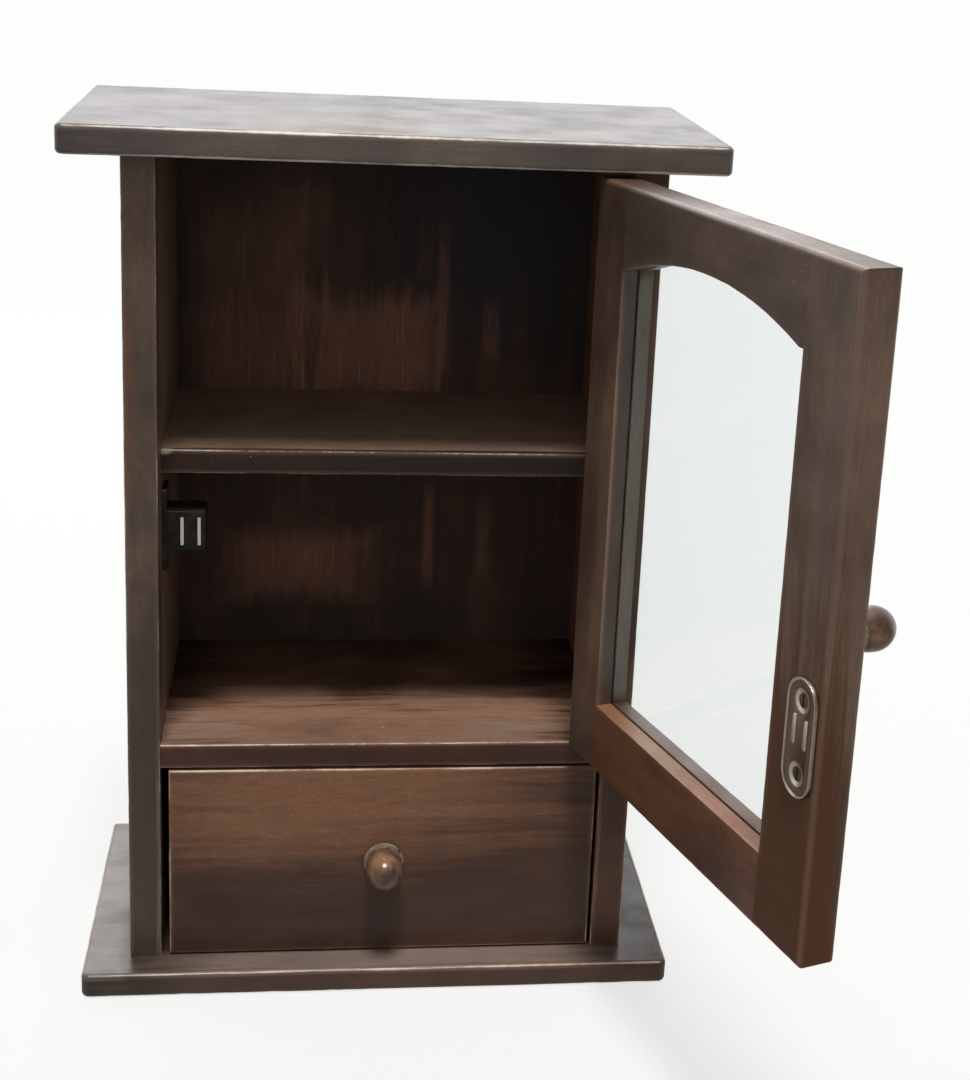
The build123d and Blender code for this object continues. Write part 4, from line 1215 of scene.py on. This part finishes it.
@dataclass
class Door:
    """The glazed door: its frame and its pane, shaped shut and then swung out."""

    swing: Swing
    body: str = "door"
    slot: str = "door_wood"
    arris_radius: float = 1.5 * MM
    groove_play: float = 0.15 * MM  # on each face of the pane
    groove_room: float = 0.3 * MM  # beyond the pane's edges
    arch_rise: float = 10.5 * MM
    arch_shoulder: float = 2.5 * MM
    arch_steps: int = 64
    arch_sides: int = 720  # of the whole circle

    def __post_init__(self) -> None:
        """Reads the frame's four members and the pane."""
        self.left = self.swing.shut_box("door_free_stile")
        self.right = self.swing.shut_box("door_hinge_stile")
        self.foot = self.swing.shut_box("door_bottom_rail")
        self.head = self.swing.shut_box("door_top_rail")
        self.pane = self.swing.shut_box("door_glass")

    def opening_edges(self) -> list[Segment]:
        """The upright and level arrises of the opening, on both faces of the door."""
        left, right = self.left[1].x, self.right[0].x
        low, high = self.foot[1].z, self.head[0].z
        found = []
        for y in (self.foot[0].y, self.foot[1].y):
            corners = ((left, high), (left, low), (right, low), (right, high))
            found += joined([Vector((x, y, z)) for x, z in corners])
        return found

    def arch(self) -> tuple[Vector, float, float]:
        """The arch's centre, its radius and half of its span."""
        low, high = self.head
        half = (high.x - low.x) / 2 - self.arch_shoulder
        radius = (half**2 + self.arch_rise**2) / (2 * self.arch_rise)
        return Vector(((low.x + high.x) / 2, 0.0, low.z + self.arch_rise - radius)), radius, half

    def arch_points(self, y: float) -> list[Vector]:
        """Points along the arch.

        Args:
            y: The face of the door that they lie on.

        Returns:
            The points, from the left shoulder to the right one.
        """
        centre, radius, half = self.arch()
        reach = math.asin(half / radius)
        angles = [reach * (2 * step / self.arch_steps - 1) for step in range(self.arch_steps + 1)]
        return [centre + Vector((radius * math.sin(a), y, radius * math.cos(a))) for a in angles]

    def groove(self, member: Member) -> None:
        """Cuts the groove for the pane.

        Args:
            member: The stile or rail to cut.
        """
        low, high = self.pane
        room, play = self.groove_room, self.groove_play
        Bench.recess(member.piece, low - Vector((room, play, 0.0)), high + Vector((room, play, room)))

    def hang(self, member: Member, wood: StainedWood, grain: Axis) -> None:
        """Completes a member and swings it out with the door.

        Args:
            member: The shaped member.
            wood: Its finish.
            grain: The direction of its grain with the door shut.
        """
        piece = member.complete()
        piece.data.transform(self.swing.matrix())
        show(piece, self.body, self.slot, wood.make(grain, self.swing), member.node)

    def stile(self, node: str, box: Box, inner: float, outer: float) -> Member:
        """Shapes an upright of the frame.

        Args:
            node: Its node.
            box: Its lowest and its highest corner.
            inner: Where its face beside the pane lies.
            outer: Where its outer face lies.

        Returns:
            The grooved stile.
        """
        low, high = box
        member = Member.rounded(
            node, box, self.arris_radius,
            lambda c, axis: same(c.y, low.y, high.y) and (axis is Axis.X or same(c.x, outer)),
        )
        self.groove(member)
        member.arrises += [(a, b) for a, b in self.opening_edges() if same(a.x, inner) and same(b.x, inner)]
        return member

    def free_stile(self) -> None:
        """The stile that carries the knob, rubbed dull at its foot."""
        low, high = self.left
        member = self.stile("door_free_stile", self.left, high.x, low.x)
        toe = Patch(((low.x + high.x) / 2, high.y, low.z), (0.05, 0.019, 0.15), 1.2, tone(98, 62, 35), 0.4)
        wood = StainedWood(
            "door_free_stile_stain", tone(78, 62, 52), tone(158, 128, 108), arris_show=0.3, specks=1.4,
            patches=(toe,), matte=replace(toe, strength=0.9),
        )
        self.hang(member, wood, Axis.Z)

    def hinge_stile(self) -> None:
        """The stile on the hinges, with its two notches."""
        low, high = self.right
        member = self.stile("door_hinge_stile", self.right, low.x, high.x)
        for leaf in ("upper_hinge_door_leaf", "lower_hinge_door_leaf"):
            leaf_low, leaf_high = self.swing.shut_box(leaf)
            Bench.recess(
                member.piece,
                Vector((leaf_low.x, low.y - MM, leaf_low.z - SEAT)),
                Vector((high.x + MM, high.y + MM, leaf_high.z + SEAT)),
            )
        middle = (self.foot[1].z + self.head[0].z) / 2
        reach = (self.head[0].z - self.foot[1].z) / 2 + self.arch_shoulder
        outside, inside, edge = ((low.x, y, middle) for y in (low.y + 3.1 * MM, high.y - 3.6 * MM, high.y))
        # grey on the far wall of the opening, seen through the pane: partly dust on the pane, partly a
        # painted reflection in it
        dust_and_sheen = Patch(outside, (0.001, 0.0031, reach), 0.9, PANE_DUST_AND_SHEEN, 0.9, True, 0.1)
        near = Patch(inside, (0.001, 0.0036, reach), -0.3, None, 0.7, True, 0.3)
        handled = Patch(edge, (0.014, 0.002, 0.11), 0.3, soft=0.3, square=True)
        wood = StainedWood(
            "door_hinge_stile_stain", tone(69, 53, 45), tone(142, 112, 92), arris_show=0.3, specks=1.4,
            patches=(dust_and_sheen, near, handled),
        )
        self.hang(member, wood, Axis.Z)

    def bottom_rail(self) -> None:
        """The lower rail."""
        low, high = self.foot
        member = Member.rounded(
            "door_bottom_rail", self.foot, self.arris_radius,
            lambda c, axis: axis is Axis.X and same(c.z, low.z),
        )
        self.groove(member)
        member.arrises += [(a, b) for a, b in self.opening_edges() if same(a.z, b.z)]
        middle = Vector(((low.x + high.x) / 2, low.y + 9.5 * MM, high.z))
        rim, half = middle - Vector((0.0, 6.4 * MM, 0.0)), (high.x - low.x) / 2
        # the near wall of the opening paler: raw wood, brightened further as painted light
        raw_and_lit = Patch(middle, (0.2, 0.0055, 0.001), 1.0, tone(142, 104, 74), 0.7, True, 0.4)
        # the same grey on the rail's far wall: partly dust on the pane, partly a painted reflection in it
        dust_and_sheen = Patch(rim, (half, 0.0031, 0.001), 0.9, tone(134, 110, 98), 0.9, True, 0.1)
        ruddy = Patch(middle - Vector((0.045, 0.0, 0.0)), (0.075, 0.0055, 0.001), 0.7, tone(146, 84, 58), 0.3)
        wood = StainedWood(
            "bottom_rail_stain", tone(66, 43, 31), tone(148, 95, 61), thinness=0.45, arris_show=0.7,
            patches=(raw_and_lit, dust_and_sheen, ruddy),
        )
        self.hang(member, wood, Axis.X)

    def top_rail(self) -> None:
        """The upper rail, arched over the pane."""
        low, high = self.head
        member = Member.rounded(
            "door_top_rail", self.head, self.arris_radius,
            lambda c, axis: axis is Axis.X and same(c.z, high.z),
        )
        centre, radius, _ = self.arch()
        centre.y = (low.y + high.y) / 2
        Bench.combine(member.piece, Bench.rod("arch", centre, radius, 4 * (high.y - low.y), self.arch_sides))
        self.groove(member)
        for y in (low.y, high.y):
            member.arrises += joined(self.arch_points(y))
        wood = StainedWood(
            "top_rail_stain", tone(79, 68, 63), tone(132, 108, 94), thinness=0.45, arris_show=0.35
        )
        self.hang(member, wood, Axis.X)

    def build(self) -> None:
        """Makes the door's frame and dresses its pane."""
        self.free_stile()
        self.hinge_stile()
        self.bottom_rail()
        self.top_rail()
        nodes_finish(Pane().make(), "door_glass")


@dataclass
class Drawer:
    """The drawer: a stained front on a plain box."""

    body: str = "drawer"
    arris_radius: float = 1.3 * MM
    lap: float = 5.0 * MM  # the front's rebate that takes each side
    side: float = 8.0 * MM
    bottom_play: float = 0.2 * MM
    light: Colour = tone(150, 112, 80)  # the box's plain wood
    dark: Colour = tone(96, 66, 46)

    def front(self) -> None:
        """The drawer's face, rebated at its ends."""
        low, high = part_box("drawer_front")
        member = Member.rounded(
            "drawer_front", (low, high), self.arris_radius, lambda c, axis: same(c.y, low.y)
        )
        side_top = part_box("drawer_left_side")[1].z
        for edge, inward in ((low.x, 1), (high.x, -1)):
            near, far = sorted((edge - inward * MM, edge + inward * self.side))
            Bench.recess(
                member.piece,
                Vector((near, high.y - self.lap, low.z - MM)),
                Vector((far, high.y + MM, side_top)),
            )
        bottom_low, bottom_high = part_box("drawer_bottom")
        Bench.recess(
            member.piece,
            Vector((low.x + self.side, bottom_low.y - self.bottom_play, bottom_low.z)),
            Vector((high.x - self.side, high.y + MM, bottom_high.z + self.bottom_play)),
        )
        glow = Patch((low.x * 0.25, low.y, high.z - 10 * MM), (0.145, 0.02, 0.052), 0.78, ragged=0.9)
        wood = StainedWood(
            "drawer_stain", tone(61, 41, 35), tone(152, 108, 80), bare=tone(212, 186, 162), thinness=0.17,
            figure=0.08, arris_width=1.2 * MM, arris_show=1.0, strokes=0.26, stroke_draw=0.3, clouds=0.45,
            patches=(glow,),
        )
        show(member.complete(), self.body, "drawer_wood", wood.make(Axis.X), member.node)

    def build(self) -> None:
        """Makes the front and dresses the box."""
        self.front()
        plain = PlainWood("drawer_box_wood", self.light, self.dark)
        nodes_finish(plain.make(Axis.Y), "drawer_left_side", "drawer_right_side", "drawer_bottom")
        nodes_finish(replace(plain, name="drawer_back_wood").make(Axis.X), "drawer_back")


@dataclass
class Knob:
    """A turned knob: a collar, a bead and an egg-shaped body."""

    node: str
    body: str
    root: Vector
    outward: Vector
    collar: float = 8.0 * MM
    collar_height: float = 1.5 * MM
    bead: float = 7.4 * MM
    bead_height: float = 1.3 * MM
    groove: float = 0.7 * MM
    groove_width: float = 0.35 * MM
    edge: float = 0.45 * MM  # rounding of the collar and the bead
    belly: float = 7.4 * MM
    belly_height: float = 9.2 * MM
    length: float = 17.2 * MM
    spigot: float = 3.0 * MM
    spigot_length: float = 8.0 * MM

    def swell(self, neck: float, foot: float) -> Outline:
        """The body's outline, drawn with two curves.

        Args:
            neck: Its radius at the bead.
            foot: Its height at the bead.

        Returns:
            The points from the bead to the tip.
        """
        above = self.length - self.belly_height
        first = ((neck, foot), (neck + 0.3 * MM, foot + 1.4 * MM), (self.belly, self.belly_height - 2.6 * MM))
        second = ((self.belly, self.belly_height + ROUND * above), (ROUND * self.belly, self.length))
        waist, tip = (self.belly, self.belly_height), (0.0, self.length)
        lower = interpolate_bezier(*(Vector((*point, 0.0)) for point in (*first, waist)), 8)
        upper = interpolate_bezier(*(Vector((*point, 0.0)) for point in (waist, *second, tip)), 18)
        return [(point.x, point.y) for point in lower[1:] + upper[1:]]

    def outline(self) -> Outline:
        """The whole outline, from the end of the spigot to the tip."""
        soft, slight, lift = self.edge, 0.3 * self.edge, 0.1 * MM
        low = self.collar_height + self.groove_width
        high = low + self.bead_height
        neck = self.bead - self.groove
        foot = [
            (0.0, -self.spigot_length),
            (self.spigot, -self.spigot_length),
            (self.spigot, 0.0),
            (self.collar, 0.0),
            (self.collar, self.collar_height - soft),
            (self.collar - slight, self.collar_height - slight),
            (self.collar - soft, self.collar_height),
            (neck, self.collar_height),
            (neck, low),
            (self.bead - slight, low + lift),
            (self.bead, (low + high) / 2),
            (self.bead - slight, high - lift),
            (neck, high),
        ]
        return foot + self.swell(neck, high)

    def build(self) -> None:
        """Turns and lacquers the knob."""
        piece = Bench.turned(f"{self.node}_turned", self.outline(), self.root, self.outward)
        Bench.smooth(piece)
        lacquer = TurnedWood(f"{self.node}_lacquer").make(self.root, self.outward, self.length)
        show(piece, self.body, "knob_wood", lacquer, self.node)


@dataclass
class StrikePlate:
    """The oval plate on the door that the catch pulls on: raised rim, two dishes and two ribs."""

    swing: Swing
    rim: float = 1.2 * MM
    rim_height: float = 0.5 * MM
    rim_round: float = 0.25 * MM
    near_rim: float = 0.1 * MM  # how far from the rim's lines an edge still belongs to it
    dish: float = 4.4 * MM
    dish_depth: float = 0.45 * MM
    hole: float = 2.5 * MM
    screw_spacing: float = 25.0 * MM
    rib_size: Triple = (2.3 * MM, 0.25 * MM, 10.3 * MM)
    rib_spacing: float = 6.5 * MM
    rib_raise: float = 2.0 * MM
    raised: float = 0.05 * MM  # height over the field from which the plate is worn bright

    def __post_init__(self) -> None:
        """Reads the plate's place on the shut door."""
        self.low, self.high = self.swing.shut_box("strike_plate")
        self.middle = (self.low + self.high) / 2
        self.half = (self.high.x - self.low.x) / 2
        self.straight = (self.high.z - self.low.z) / 2 - self.half  # from the middle to each round end
        self.field = self.high.y - self.rim_height

    def blank(self) -> Piece:
        """The oval plate with its raised rim."""
        plate = Bench.rod("strike_plate_pressed", self.middle, self.half, self.high.y - self.low.y, 64)
        with Bench.editing(plate, Part.POINTS):
            for side in (-1, 1):
                Bench.pick(plate, Part.POINTS, lambda c, side=side: (c.z - self.middle.z) * side > HAIR)
                bpy.ops.transform.translate(value=(0.0, 0.0, side * self.straight))
        with Bench.editing(plate, Part.FACES):
            Bench.pick(plate, Part.FACES, lambda c: same(c.y, self.high.y))
            for depth in (0.0, -self.rim_height):
                bpy.ops.mesh.inset(thickness=self.rim / 2, depth=depth)
        Bench.round_edges(plate, self.rim_round, 3, lambda c: same(c.y, self.high.y) and self.on_rim(c))
        return plate

    def press(self, plate: Piece) -> None:
        """Sinks the two dishes and bores their screw holes.

        Args:
            plate: The plate.
        """
        deep, reach = 2 * MM, self.dish * 0.8
        dish = [(0, -self.dish_depth), (self.hole, -self.dish_depth), (reach, -self.dish_depth * 0.55)]
        dish += [(self.dish, 0), (self.dish, MM), (0, MM)]
        hole = [(0, -deep), (self.hole, -deep), (self.hole, MM), (0, MM)]
        for end in (-1, 1):
            centre = Vector((self.middle.x, self.field, self.middle.z + end * self.screw_spacing / 2))
            for outline in (dish, hole):
                Bench.bore(plate, outline, centre, Axis.Y.unit)

    def rib(self, side: int) -> Piece:
        """One of the two contact ribs.

        Args:
            side: -1 for the left one and 1 for the right one.

        Returns:
            The rounded bar.
        """
        width, height, length = self.rib_size
        reach = Vector((width / 2, height, length / 2))
        across = self.middle.x + side * self.rib_spacing / 2
        centre = Vector((across, self.field, self.middle.z + self.rib_raise))
        low, high = centre - reach, centre + reach
        bar = Bench.cube("rib", low, high)
        Bench.round_edges(
            bar, width * 0.48, 6, lambda c: same(c.x, low.x, high.x) and same(c.z, low.z, high.z)
        )
        Bench.round_edges(bar, height * 0.7, 3, lambda c: same(c.y, high.y))
        return bar

    def in_dish(self, point: Vector) -> bool:
        """True inside either of the two dishes."""
        rise = abs(point.z - self.middle.z) - self.screw_spacing / 2
        return math.hypot(point.x - self.middle.x, rise) < self.dish - self.near_rim

    def on_rim(self, point: Vector) -> bool:
        """True on the plate's outer outline or on the inner edge of its rim.

        Args:
            point: A place on the plate's upper face.

        Returns:
            Whether it lies there.
        """
        end = max(0.0, abs(point.z - self.middle.z) - self.straight)
        inside = self.half - math.hypot(point.x - self.middle.x, end)
        return inside < self.near_rim or abs(inside - self.rim / 2) < self.near_rim

    def build(self) -> None:
        """Makes the plate and sets it on the door."""
        plate = self.blank()
        self.press(plate)
        Bench.take(plate, *[self.rib(side) for side in (-1, 1)])
        bpy.ops.object.join()
        Bench.close(plate)
        places = [vertex.co for vertex in plate.data.vertices]
        bright = [float(place.y > self.field + self.raised or self.in_dish(place)) for place in places]
        plate.data.attributes.new(ARRIS, "FLOAT", "POINT").data.foreach_set("value", bright)
        Bench.smooth(plate)
        plate.data.transform(self.swing.matrix())
        # the field's dark brown is partly patina and partly a painted reflection of the wood around the plate
        metal = WornMetal(
            "strike_nickel", tone(214, 206, 194), tone(134, 114, 98), 0.32, 0.45, tone(122, 97, 81)
        )
        show(plate, "door", "strike_nickel", metal.make(), "strike_plate")


@dataclass
class Catch:
    """The magnetic catch: a moulded housing with slots for its two pole plates."""

    flange: float = 1.8 * MM
    flange_corner: float = 2.4 * MM
    body_corner: float = 1.2 * MM
    body_edge: float = 0.4 * MM
    body_height: float = 16.0 * MM
    pole_thickness: float = 1.2 * MM
    pole_play: float = 0.22 * MM
    screw_spacing: float = 25.0 * MM
    screw_neck: float = 1.25 * MM
    screw_mouth: float = 2.55 * MM
    sink_depth: float = 1.3 * MM
    hole_depth: float = 4 * MM

    def housing(self, low: Vector, high: Vector) -> Piece:
        """The block with its flange.

        Args:
            low: Its lowest corner.
            high: Its highest corner.

        Returns:
            The rounded housing, still without its slots and holes.
        """
        middle, half = (low.z + high.z) / 2, self.body_height / 2
        foot, head = Vector((low.x, low.y, middle - half)), Vector((high.x, high.y, middle + half))
        shell = Bench.cube("catch_housing", foot, head)
        Bench.round_edges(shell, self.body_corner, 4, lambda c: same(c.x, high.x))
        Bench.round_edges(shell, self.body_edge, 2, lambda c: same(c.y, low.y) and not same(c.x, low.x))
        flange = Bench.cube("flange", low, Vector((low.x + self.flange, high.y, high.z)))
        Bench.round_edges(
            flange, self.flange_corner, 5, lambda c: same(c.z, low.z, high.z) and same(c.y, low.y, high.y)
        )
        Bench.combine(shell, flange, "UNION")
        return shell

    def build(self) -> None:
        """Makes the housing and dresses the plates and the magnet."""
        low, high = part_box("catch_body")
        shell = self.housing(low, high)
        first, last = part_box("catch_pole_plates")
        thick, play = self.pole_thickness, Vector((self.pole_play, 0.0, self.pole_play))
        for x in (first.x, last.x - thick):
            near, far = Vector((x, low.y - MM, first.z)), Vector((x + thick, high.y - MM, last.z))
            Bench.recess(shell, near - play, far + play)
        neck, mouth, deep = self.screw_neck, self.screw_mouth, self.hole_depth
        outline = [(0, -deep), (neck, -deep), (neck, -self.sink_depth), (mouth, 0), (mouth, MM), (0, MM)]
        centre = (low + high) / 2
        for end in (-1, 1):
            root = Vector((low.x + self.flange, centre.y, centre.z + end * self.screw_spacing / 2))
            Bench.bore(shell, outline, root, Axis.X.unit)
        Bench.close(shell)
        Bench.smooth(shell)
        show(shell, "case", "catch_plastic", CatchShell().make(), "catch_body")
        poles = WornMetal("pole_steel", tone(246, 242, 236), tone(150, 138, 126), 0.3, 0.4, metallic=0.3)
        nodes_finish(poles.make(), "catch_pole_plates")
        magnet = WornMetal("magnet_black", tone(60, 58, 58), tone(38, 35, 34), 0.5, 0.5)
        nodes_finish(magnet.make(), "catch_magnet")


@dataclass(frozen=True)
class Fasteners:
    """Screws, brads, dowels and hinges, which keep their own shapes."""

    swing: Swing
    steel_nodes: tuple[str, ...] = (
        "base_screws", "catch_screws", "hinge_frame_screws", "hinge_door_screws", "back_brads", "drawer_brads"
    )
    birch: tuple[Colour, Colour] = (tone(206, 178, 138), tone(170, 136, 98))

    def build(self) -> None:
        """Dresses them."""
        parts = ("frame_leaf", "door_leaf", "pin")
        hinges = [f"{place}_hinge_{part}" for place in ("upper", "lower") for part in parts]
        for metal, nodes in (
            (("hinge_brass", tone(176, 142, 88), tone(84, 62, 40), 0.36, 0.8), hinges),
            (("screw_steel", tone(168, 160, 150), tone(78, 66, 58), 0.34, 0.7), self.steel_nodes),
            (("strike_screw_steel", tone(112, 98, 86), tone(58, 46, 38), 0.36, 0.9), ["strike_screws"]),
        ):
            nodes_finish(WornMetal(*metal).make(), *nodes)
        for name, grain, swing, nodes in (
            ("dowel_birch", Axis.X, None, ["divider_dowels", "shelf_dowels"]),
            ("dowel_birch_upright", Axis.Z, None, ["top_dowels"]),
            ("dowel_birch_door", Axis.X, self.swing, ["door_dowels"]),
        ):
            nodes_finish(PlainWood(name, *self.birch).make(grain, swing), *nodes)


# ---- The studio ----
@dataclass
class Studio:
    """Floor, light and camera."""

    camera_place: Triple = (-0.0309, -0.73165, 0.43209)
    yaw: float = 0.1466
    pitch: float = -0.2766
    roll: float = 0.0552
    focal_share: float = 1869.854 / 1080  # focal length against the frame's long side
    shift: tuple[float, float] = (-0.08457, -0.10707)
    sensor: float = 36.0
    clip: tuple[float, float] = (0.01, 200.0)
    target: Triple = (0.0, 0.0, 0.17)
    white: float = 0.985
    paper: Colour = (1.0, 1.0, 0.995)  # the background's tone
    bounce: Colour = (0.2, 0.195, 0.19)  # floor, as it lights the part
    paint: tuple[Colour, Colour] = ((0.80, 0.80, 0.795), (0.82, 0.82, 0.815))
    floor_radius: float = 60.0
    sky: float = 0.41  # on surfaces
    front_glow: float = 0.12  # what a reflection shows of the room in front
    lamp: float = 2.15
    lamp_size: float = math.radians(12)
    lamp_lean: tuple[float, float] = (-0.02, -0.27)  # towards -X and towards the front
    lamp_colour: Colour = (1.0, 0.985, 0.96)
    window: float = 16.0  # watts, from high behind
    window_size: tuple[float, float] = (2.4, 1.0)
    window_place: Triple = (-0.4, 1.9, 1.25)
    window_colour: Colour = (0.96, 0.98, 1.0)

    def camera(self) -> None:
        """Sets up the camera."""
        sideways, forwards = math.sin(self.yaw), math.cos(self.yaw)
        across = Vector((forwards, -sideways, 0.0))
        level = math.cos(self.pitch)
        ahead = Vector((sideways * level, forwards * level, math.sin(self.pitch)))
        up = across.cross(ahead)
        right = across * math.cos(self.roll) + up * math.sin(self.roll)
        top = up * math.cos(self.roll) - across * math.sin(self.roll)
        data = bpy.data.cameras.new("camera")
        data.sensor_width = self.sensor
        data.lens = self.sensor * self.focal_share
        data.shift_x, data.shift_y = self.shift
        data.clip_start, data.clip_end = self.clip
        camera = bpy.data.objects.new("camera", data)
        turn = Matrix((right, top, -ahead)).transposed()
        camera.matrix_world = Matrix.Translation(self.camera_place) @ turn.to_4x4()
        bpy.context.scene.collection.objects.link(camera)
        bpy.context.scene.camera = camera

    @staticmethod
    def ray(recipe: Recipe, kind: str) -> Value:
        """1 on a ray of one kind, such as Camera, Glossy or Transmission, and 0 on any other."""
        return recipe.value("ShaderNodeLightPath", {}, {}, f"Is {kind} Ray")

    def seen(self, recipe: Recipe) -> Value:
        """1 on a ray that sees the background, straight or through glass."""
        return self.ray(recipe, "Camera").larger(self.ray(recipe, "Transmission"))

    def floor(self) -> None:
        """A plain pale floor that keeps the shadow."""
        Bench.take()
        bpy.ops.mesh.primitive_circle_add(vertices=96, radius=self.floor_radius, fill_type="NGON")
        floor = Bench.settle("floor")
        recipe = Recipe("floor_paint")
        place = recipe.place()
        paint = recipe.mix(recipe.noise(place, 3.0, 2.0), *self.paint)
        paint = recipe.mix(self.seen(recipe), self.bounce, paint)
        surface_inputs = {"Base Color": paint, "Roughness": 1.0, "Specular IOR Level": 0.0}
        surface = recipe.node("ShaderNodeBsdfPrincipled", {}, surface_inputs).outputs[0]
        glow = recipe.node("ShaderNodeEmission", {}, {"Color": self.paper, "Strength": self.white}).outputs[0]
        behind = recipe.measure("DOT_PRODUCT", place, Axis.Y.unit).rise(-0.25, 0.2)
        plain = recipe.measure("LENGTH", place).rise(0.5, 1.5, 0.3) + 0.7
        share = (self.seen(recipe) * plain).larger(self.ray(recipe, "Glossy") * behind)
        shown = recipe.node("ShaderNodeMixShader", {}, {0: share, 1: surface, 2: glow}).outputs[0]
        recipe.node("ShaderNodeOutputMaterial", {}, {"Surface": shown})
        floor.data.materials.append(recipe.material)

    def hang(self, name: str, kind: str, place: Vector, settings: dict[str, Any]) -> None:
        """Hangs a lamp, pointed at the middle of the part.

        Args:
            name: The lamp's name.
            kind: Its type.
            place: Where it hangs.
            settings: Its strength, size and colour.
        """
        data = bpy.data.lights.new(name, kind)
        for key, setting in settings.items():
            setattr(data, key, setting)
        lamp = bpy.data.objects.new(name, data)
        lamp.location = place
        lamp.rotation_mode = "QUATERNION"
        lamp.rotation_quaternion = (place - Vector(self.target)).to_track_quat("Z", "Y")
        lamp.visible_camera = False
        bpy.context.scene.collection.objects.link(lamp)

    def lights(self) -> None:
        """One broad lamp overhead and a window high behind."""
        overhead = {"energy": self.lamp, "angle": self.lamp_size, "color": self.lamp_colour}
        self.hang("overhead", "SUN", Vector((*self.lamp_lean, 1.0)).normalized() * 2.0, overhead)
        wide, tall = self.window_size
        window = {"shape": "RECTANGLE", "size": wide, "size_y": tall, "energy": self.window}
        self.hang("window", "AREA", Vector(self.window_place), window | {"color": self.window_colour})

    def heaven(self) -> None:
        """An even sky, bright behind the part and dim in front of it where it is reflected."""
        world = bpy.data.worlds.new("sky")
        bpy.context.scene.world = world
        recipe = Recipe("sky", world)
        direction = recipe.node("ShaderNodeTexCoord", {}, {}).outputs["Generated"]
        behind = recipe.measure("DOT_PRODUCT", direction, Axis.Y.unit)
        glossy = self.ray(recipe, "Glossy")
        room = behind.rise(-0.3, 0.45, self.white - self.front_glow) + self.front_glow
        level = (self.seen(recipe) * self.white).larger(glossy * room + (1.0 - glossy) * self.sky)
        sky = recipe.node("ShaderNodeBackground", {}, {"Color": self.paper, "Strength": level})
        recipe.node("ShaderNodeOutputWorld", {}, {"Surface": sky.outputs[0]})

    def build(self) -> None:
        """Sets up the whole studio."""
        self.camera()
        self.floor()
        self.lights()
        self.heaven()
        bpy.context.scene.view_settings.view_transform = "Standard"


def front_middle(box: Box, front: float) -> Vector:
    """The middle of a box, brought to the face that a knob stands on."""
    low, high = box
    return Vector(((low.x + high.x) / 2, front, (low.z + high.z) / 2))


def main() -> None:
    """Builds and dresses the cabinet, piece by piece."""
    logging.basicConfig(level=logging.INFO, format="%(name)s: %(message)s")
    swing = Swing.from_joint("door_hinge")
    Studio().build()
    Case().build()
    Door(swing).build()
    Drawer().build()
    StrikePlate(swing).build()
    Catch().build()
    Fasteners(swing).build()
    outward = -Axis.Y.unit
    root = front_middle(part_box("drawer_knob"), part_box("drawer_front")[0].y)
    Knob("drawer_knob", "drawer", root, outward).build()
    turn = swing.matrix()
    root = front_middle(swing.shut_box("door_knob"), swing.shut_box("door_free_stile")[0].y)
    Knob("door_knob", "door", turn @ root, turn.to_3x3() @ outward).build()


if __name__ == "__main__":
    main()
